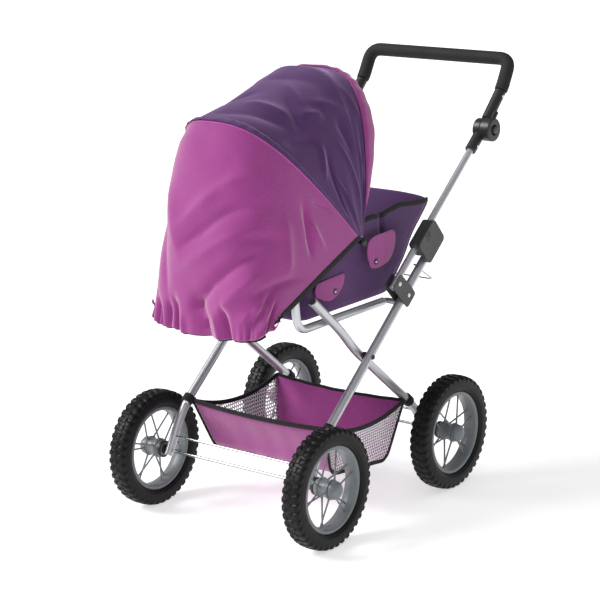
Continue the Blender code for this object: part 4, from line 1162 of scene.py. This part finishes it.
def make_snap_tabs():
    """Two cloth tabs on each side of the hood, each closed with a press stud."""
    upper = [(0.026, 0.4575), (0.042, 0.4640), (0.103, 0.4665), (0.105, 0.443), (0.095, 0.4225),
             (0.082, 0.413), (0.0535, 0.4085), (0.034, 0.411), (0.023, 0.435)]
    lower = [(-0.020, 0.414), (-0.027, 0.392), (-0.047, 0.377), (-0.068, 0.374),
             (-0.103, 0.390), (-0.100, 0.410)]
    for name, outline, x, stud, bulge in (
            ("upper", upper, 0.1228, (0.046, 0.421), 0.0016),
            ("lower", lower, 0.1096, (-0.050, 0.388), 0.0010)):
        shape = [(y + MIDDLE_Y, z) for y, z in outline]
        both_sides(f"snap_tab_{name}", lambda: tab_mesh(shape, x, bulge), PINK_FLAT, "chassis")
        point = at(x + 0.0016 + bulge * 0.5, *stud)
        both_sides(f"stud_ring_{name}", lambda: snap_mesh(point), BLACK, "chassis")
        both_sides(f"stud_dome_{name}", lambda: dome_mesh(point, (1, 0, 0), 0.0031, 0.0026), STEEL,
                   "chassis")


# ---------------------------------------------------------------- seat
def rounded_loop(count, half, y_from, y_to, corner, z_from, z_to):
    """A rounded rectangle seen from above, whose height changes evenly along Y."""
    start = np.array([0, 90, 180, 270])[:, None]
    angle = np.radians(start + np.linspace(0, 90, 12)[None])
    middle_x = np.array([1, -1, -1, 1])[:, None] * (half - corner)
    middle_y = np.array([y_to - corner, y_to - corner, y_from + corner, y_from + corner])[:, None]
    x = (middle_x + corner * np.cos(angle)).ravel()
    y = (middle_y + corner * np.sin(angle)).ravel()
    ring = resampled(np.stack([x, y], 1), count, closed=True)
    z = z_from + (z_to - z_from) * (ring[:, 1] - y_from) / (y_to - y_from)
    return np.column_stack([ring[:, 0], ring[:, 1] + MIDDLE_Y, z])


def loop_stack(keys, rows, count):
    """Loops worked out between key loops, given as (level, half, y_from, y_to, corner, z_from, z_to)."""
    keys = np.asarray(keys, float)
    level = np.linspace(0, 1, rows)
    values = np.stack([np.interp(level, keys[:, 0], keys[:, k]) for k in range(1, keys.shape[1])], 1)
    return np.array([rounded_loop(count, *row) for row in values])


TUB_KEYS = (
    (0.00, 0.0990, -0.1250, 0.1120, 0.018, 0.3535, 0.3535),
    (0.06, 0.1040, -0.1310, 0.1190, 0.022, 0.3555, 0.3565),
    (0.14, 0.1076, -0.1350, 0.1270, 0.024, 0.3620, 0.3650),
    (1.00, 0.1080, -0.1400, 0.2380, 0.024, 0.4700, 0.4900),
)


def make_seat_tub():
    """Tub of rounded rectangles stacked upwards, with an open rim and a flat floor.

    The walls move along their normal by a half sine of the height times two sines along the side, and by a
    bell across the dart's line; the top edge's heights are carried down the wall by height to the power 1.5.
    """
    rows, count = 40, 240
    points = loop_stack(TUB_KEYS, rows, count)
    out = np.cross(np.roll(points, -1, 1) - np.roll(points, 1, 1), np.gradient(points, axis=0))
    out /= np.maximum(np.linalg.norm(out, axis=-1, keepdims=True), 1e-12)
    level = np.linspace(0, 1, rows)[:, None]
    y = points[..., 1] - MIDDLE_Y
    dent = -0.0022 * np.sin(np.pi * level) * (1 + 0.4 * np.sin(38 * y) + 0.5 * np.sin(61 * y + 4 * level))
    dart = -0.0050 * np.exp(-((y - 0.083 - 0.020 * (1 - level)) / 0.0045) ** 2)
    dart = dart * np.clip(level * 3 - 1, 0, 1)
    points = points + out * (dent + dart)[..., None]
    edge_height = np.interp(y[-1], (-0.140, 0.0, 0.035, 0.060, 0.086, 0.106, 0.141, 0.189, 0.235),
                            (0.470, 0.489, 0.490, 0.492, 0.489, 0.494, 0.4985, 0.4935, 0.492))
    crown = 1 - np.clip(np.abs(points[-1, :, 0]) / 0.105, 0, 1) ** 3
    edge_height += 0.0072 * crown * np.clip((y[-1] - 0.225) / 0.010, 0, 1)
    points[..., 2] += (edge_height - points[-1, :, 2])[None] * level ** 1.5
    centre = points[0].mean(0)
    rings = np.array([centre + (points[0] - centre) * share for share in (0.02, 0.35, 0.7)])
    whole = np.concatenate([rings, points])
    cloth_piece("seat_tub_cloth", whole, PURPLE, "chassis", ["seat_tub"], wall=0.0020,
                outward=False, wrap=True)
    foot_end = np.flatnonzero((y[-1] > 0.232) & (np.abs(points[-1, :, 0]) < 0.1035))
    rim = np.concatenate([points[-1, foot_end[-1] + 2:], points[-1, :foot_end[0] - 1]])
    rim = resampled(rim + np.array([0.0, 0.0, 0.0005]), 240)
    binding("tub_binding", tape_mesh(rim, (0.0, 0.0, 1.0), 0.0045, 0.0024))
    corner_x = 0.1040
    for side, sign in SIDES:
        column = int(np.argmin(np.abs(points[-1, :, 0] - sign * corner_x) + 10 * (points[-1, :, 1] < 0.13)))
        path = resampled(points[4:-1, column], 40)
        flat = out[4:-1, column].mean(0)[[1, 0, 2]] * [0, 1, 1] + [sign, 0, 0]
        binding(f"foot_binding_{side}", tape_mesh(path, flat, 0.0036, 0.0013))


def simulate_pad(piece, voxel, limit, pressure, frames=20):
    """Swells a closed mesh with cloth pressure, and caps how far each point may move."""
    bpy.context.view_layer.objects.active = piece
    remesh = piece.modifiers.new("voxels", "REMESH")
    remesh.mode = "VOXEL"
    remesh.voxel_size = voxel
    apply_modifier(piece, remesh)
    rest = vertex_places(piece.data)
    cloth = piece.modifiers.new("cloth", "CLOTH")
    cloth.settings.use_pressure = True
    cloth.settings.uniform_pressure_force = pressure
    cloth.settings.effector_weights.gravity = 0.0
    cloth.settings.quality = 6
    scene = bpy.context.scene
    for number in range(1, frames + 1):
        scene.frame_set(number)
    apply_modifier(piece, cloth)
    moved = vertex_places(piece.data)
    step = moved - rest
    length = np.linalg.norm(step, axis=1, keepdims=True)
    moved = rest + step * np.minimum(1.0, limit / np.maximum(length, 1e-9))
    piece.data.vertices.foreach_set("co", moved.astype(np.float32).ravel())
    piece.data.update()
    scene.frame_set(1)


def vertex_places(mesh):
    """The mesh's points as one array."""
    places = np.zeros(len(mesh.vertices) * 3, np.float32)
    mesh.vertices.foreach_get("co", places)
    return places.reshape(-1, 3).astype(float)


def apply_modifier(piece, modifier):
    """Makes the evaluated mesh the piece's own and drops the modifier."""
    graph = bpy.context.evaluated_depsgraph_get()
    mesh = bpy.data.meshes.new_from_object(piece.evaluated_get(graph))
    piece.modifiers.remove(modifier)
    piece.data = mesh


def make_mattress():
    """A thin pad in the tub: swelled by cloth pressure, then quilted with two sewn channels."""
    low, high = (np.array(corner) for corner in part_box("seat_mattress"))
    centre = (low + high) / 2
    half = (high - low) / 2 - [0.003, 0.003, 0.003]
    mesh = block_mesh(centre, half, 0.0055, steps=20)
    piece = finished("mattress_pad", mesh, PURPLE_PAD, "chassis", ["seat_mattress"], 60)
    simulate_pad(piece, 0.0050, 0.006, 4.0)
    places = vertex_places(piece.data)
    for channel in (-0.045, 0.030):
        groove = np.exp(-((places[:, 1] - (channel + MIDDLE_Y)) / 0.004) ** 2)
        places[:, 2] -= 0.0045 * groove * (places[:, 2] > centre[2])
    piece.data.vertices.foreach_set("co", places.astype(np.float32).ravel())
    piece.data.update()
    piece.data.shade_smooth()
    smooth = piece.modifiers.new("smooth", "SUBSURF")
    smooth.levels = 1
    smooth.render_levels = 1


# ---------------------------------------------------------------- basket
FRONT_TOP = (-0.1220, 0.1760)
FRONT_FLOOR = (-0.0850, 0.0850)
REAR_FLOOR = (0.0800, 0.0630)
REAR_TOP = (0.1040, 0.1665)
STRAP_WIDTH = 0.0150
BASKET_HALF = ((0.0, 0.1395), (0.27, 0.1230), (0.71, 0.1180), (1.0, 0.1385))


def basket_blend(piece):
    """Bakes the piece's placement into its mesh."""
    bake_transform(piece)


def sagging(start, end, sag, count):
    """A line between two points that hangs a little below them."""
    t = np.linspace(0, 1, count)[:, None]
    line = np.asarray(start) * (1 - t) + np.asarray(end) * t
    line[:, 2] -= sag * 4 * (t * (1 - t))[:, 0]
    return line


def make_basket():
    """One cloth from the front edge under the floor to the rear edge, with net sides.

    Each row is a straight line across at the side line's place; it sags by one minus the square of the share
    across, most at the two edges and on the floor, and bows outwards on the front and rear faces.
    """
    spine = rounded_profile([FRONT_TOP, FRONT_FLOOR, REAR_FLOOR, REAR_TOP], 0.018, 8)
    spine = resampled(spine, 90)
    half = np.interp(np.linspace(0, 1, len(spine)), *zip(*BASKET_HALF))
    across = np.linspace(-1, 1, 81)
    points = np.zeros((len(spine), len(across), 3))
    points[..., 0] = half[:, None] * across
    points[..., 1] = spine[:, :1] + MIDDLE_Y
    points[..., 2] = spine[:, 1:]
    middle = 1 - across[None] ** 2
    run = np.linspace(0, 1, len(spine))[:, None]
    edge = np.exp(-(run / 0.10) ** 2) + np.exp(-((1 - run) / 0.10) ** 2)
    floor = np.exp(-((run - 0.5) / 0.22) ** 4)
    points[..., 2] -= 0.0060 * middle * edge + 0.0040 * middle * floor
    bow = np.exp(-((run - 0.16) / 0.10) ** 2) - np.exp(-((run - 0.84) / 0.10) ** 2)
    points[..., 1] += 0.0035 * middle * bow
    points[..., 2] += 0.0008 * np.sin(17 * across)[None] * np.sin(9 * run) * middle
    cloth = cloth_piece("basket_cloth", points, PINK, None, ["basket"], wall=0.0012,
                        outward=False)
    basket_blend(cloth)
    for side, sign in SIDES:
        make_basket_side(side, sign, points)
    for name, row in (("front", points[0]), ("rear", points[-1])):
        basket_blend(binding(f"basket_rim_{name}", tape_mesh(row, (0, 0, 1), 0.0040, 0.0016), None))


def make_basket_side(side, sign, points):
    """A net side panel between the cloth's edge and a sagging top edge, with taped edges."""
    edge = points[:, -1 if sign > 0 else 0]
    count = len(edge)
    top = sagging(edge[0], edge[-1], 0.0210, count)
    t = np.linspace(0, 1, 24)[:, None, None]
    panel = edge[None] * (1 - t) + top[None] * t
    pinch = np.sin(np.pi * np.linspace(0, 1, count))[None] * np.sin(np.pi * t[..., 0])
    panel[..., 0] -= sign * 0.0040 * pinch
    net = cloth_piece(f"basket_net_{side}", panel, NET_WHITE, None, wall=0.0006,
                      outward=sign < 0, uv=panel[..., 1:])
    basket_blend(net)
    basket_blend(binding(f"basket_net_rim_{side}", tape_mesh(top, (0, 0, 1), 0.0040, 0.0014), None))
    lower = edge + np.array([sign * 0.0010, 0.0, 0.0])
    reference = np.gradient(edge, axis=0)[:, [0, 2, 1]] * [1, -1, 1]
    tape = tape_mesh(lower, reference, 0.0034, 0.0013)
    basket_blend(binding(f"basket_net_edge_{side}", tape, None))


def strap_mesh(centre, axis, radius, width, towards):
    """A strap loop round a tube, with a short tongue to the basket's corner."""
    axis = np.asarray(axis) / np.linalg.norm(axis)
    inner, outer = radius + 0.0006, radius + 0.0026
    half = width / 2
    profile = rounded_profile([(inner, -half), (outer, -half), (outer, half), (inner, half), (inner, -half)],
                              0.0006)
    ring = turned(profile[:-1], centre, axis, 40, closed=True)
    start = np.asarray(centre) + (np.asarray(towards) - centre) * 0.25
    tongue = tape_mesh(np.linspace(start, towards, 12), axis, half * 0.9, 0.0012)
    return joined_mesh("strap", [ring, tongue])


def make_basket_straps():
    """Four strap loops round the tubes, and the studs on the front ones."""
    chassis = chassis_corners()
    leg = leg_corners(LEG_X)
    front_axis = chassis[2] - chassis[1]
    rear_axis = leg[3] - leg[2]
    front = chassis[1] + front_axis / np.linalg.norm(front_axis) * 0.0190
    rear = leg[3] - rear_axis / np.linalg.norm(rear_axis) * 0.0300
    front_corner = at(BASKET_HALF[0][1] - 0.001, FRONT_TOP[0] + 0.002, FRONT_TOP[1] - 0.001)
    rear_corner = at(BASKET_HALF[-1][1] - 0.001, REAR_TOP[0] - 0.002, REAR_TOP[1] - 0.001)
    both_sides("strap_front", lambda: strap_mesh(front, front_axis, FRAME_RADIUS, STRAP_WIDTH, front_corner),
               BINDING, "chassis")
    both_sides("strap_rear", lambda: strap_mesh(rear, rear_axis, FRAME_RADIUS, STRAP_WIDTH, rear_corner),
               BINDING, "rear_frame")
    out = np.array([-0.35, -0.75, -0.2])
    stud = front + out / np.linalg.norm(out) * (FRAME_RADIUS + 0.0026)
    both_sides("strap_stud", lambda: dome_mesh(stud, out, 0.0030, 0.0014), WHITE, "chassis")


# ---------------------------------------------------------------- studio
def make_camera():
    """A long lens from the front right, a little above, rolled by about a degree."""
    azimuth, elevation, roll = math.radians(38.12), math.radians(14.4175), math.radians(-1.162)
    back = np.array([math.sin(azimuth) * math.cos(elevation), -math.cos(azimuth) * math.cos(elevation),
                     math.sin(elevation)])
    right = np.cross([0.0, 0.0, 1.0], back)
    right /= np.linalg.norm(right)
    up = np.cross(back, right)
    camera_x = right * math.cos(roll) + up * math.sin(roll)
    camera_y = -right * math.sin(roll) + up * math.cos(roll)
    place = at(-0.0007, 0.0, 0.3471) + back * 3.3292
    data = bpy.data.cameras.new("camera")
    data.sensor_width = 36.0
    data.lens = 118.008
    camera = bpy.data.objects.new("camera", data)
    bpy.context.scene.collection.objects.link(camera)
    matrix = np.eye(4)
    matrix[:3, 0], matrix[:3, 1], matrix[:3, 2], matrix[:3, 3] = camera_x, camera_y, back, place
    camera.matrix_world = Matrix(matrix.tolist())
    bpy.context.scene.camera = camera


def add_light(name, kind, direction, power, **settings):
    """A light shining from a direction towards the middle of the stroller."""
    data = bpy.data.lights.new(name, kind)
    data.energy = power
    for key, value in settings.items():
        setattr(data, key, value)
    light = bpy.data.objects.new(name, data)
    place = Vector(direction).normalized() * 3.5
    light.location = place + Vector((0.0, 0.0, 0.35))
    light.rotation_euler = (-place).to_track_quat("-Z", "Y").to_euler()
    bpy.context.scene.collection.objects.link(light)


def make_studio():
    """White floor and surroundings, with a soft key from the front left and above."""
    reach = 8.0
    floor = bpy.data.meshes.new("floor")
    floor.from_pydata([(-reach, -reach, 0), (reach, -reach, 0), (reach, reach, 0), (-reach, reach, 0)],
                      [], [(0, 1, 2, 3)])
    made = bpy.data.objects.new("floor", floor)
    bpy.context.scene.collection.objects.link(made)
    material = new_material("studio_floor", {
        "Base Color": (0.80, 0.80, 0.80, 1.0), "Roughness": 0.8, "Specular IOR Level": 0.1,
        "Emission Color": (1.0, 1.0, 1.0, 1.0), "Emission Strength": 0.56})[0]
    floor.materials.append(material)
    world = bpy.data.worlds.new("studio")
    world.use_nodes = True
    tree = world.node_tree
    background = tree.nodes["Background"]
    background.inputs["Color"].default_value = (1.0, 1.0, 1.0, 1.0)
    seen = add_node(tree, "ShaderNodeLightPath").outputs["Is Camera Ray"]
    tree.links.new(maths(tree, "MULTIPLY_ADD", seen, 0.67, 0.38), background.inputs["Strength"])
    bpy.context.scene.world = world
    bpy.context.scene.view_settings.view_transform = "Standard"
    add_light("key", "SUN", (-0.75, -0.70, 0.85), 3.0, angle=0.50)
    add_light("strip", "AREA", (0.9, -1.0, 0.9), 10.0, shape="RECTANGLE", size=0.5, size_y=2.6)


make_wheels()
make_axles()
make_frame_tubes()
make_handle_tubes()
make_sliders()
make_bail()
make_handle_hinges()
make_handle_bar()
make_seat_rail()
make_bows()
make_canopy()
make_brim()
make_head_cover()
make_hood_pivots()
make_snap_tabs()
make_seat_tub()
make_mattress()
make_basket()
make_basket_straps()
make_camera()
make_studio()
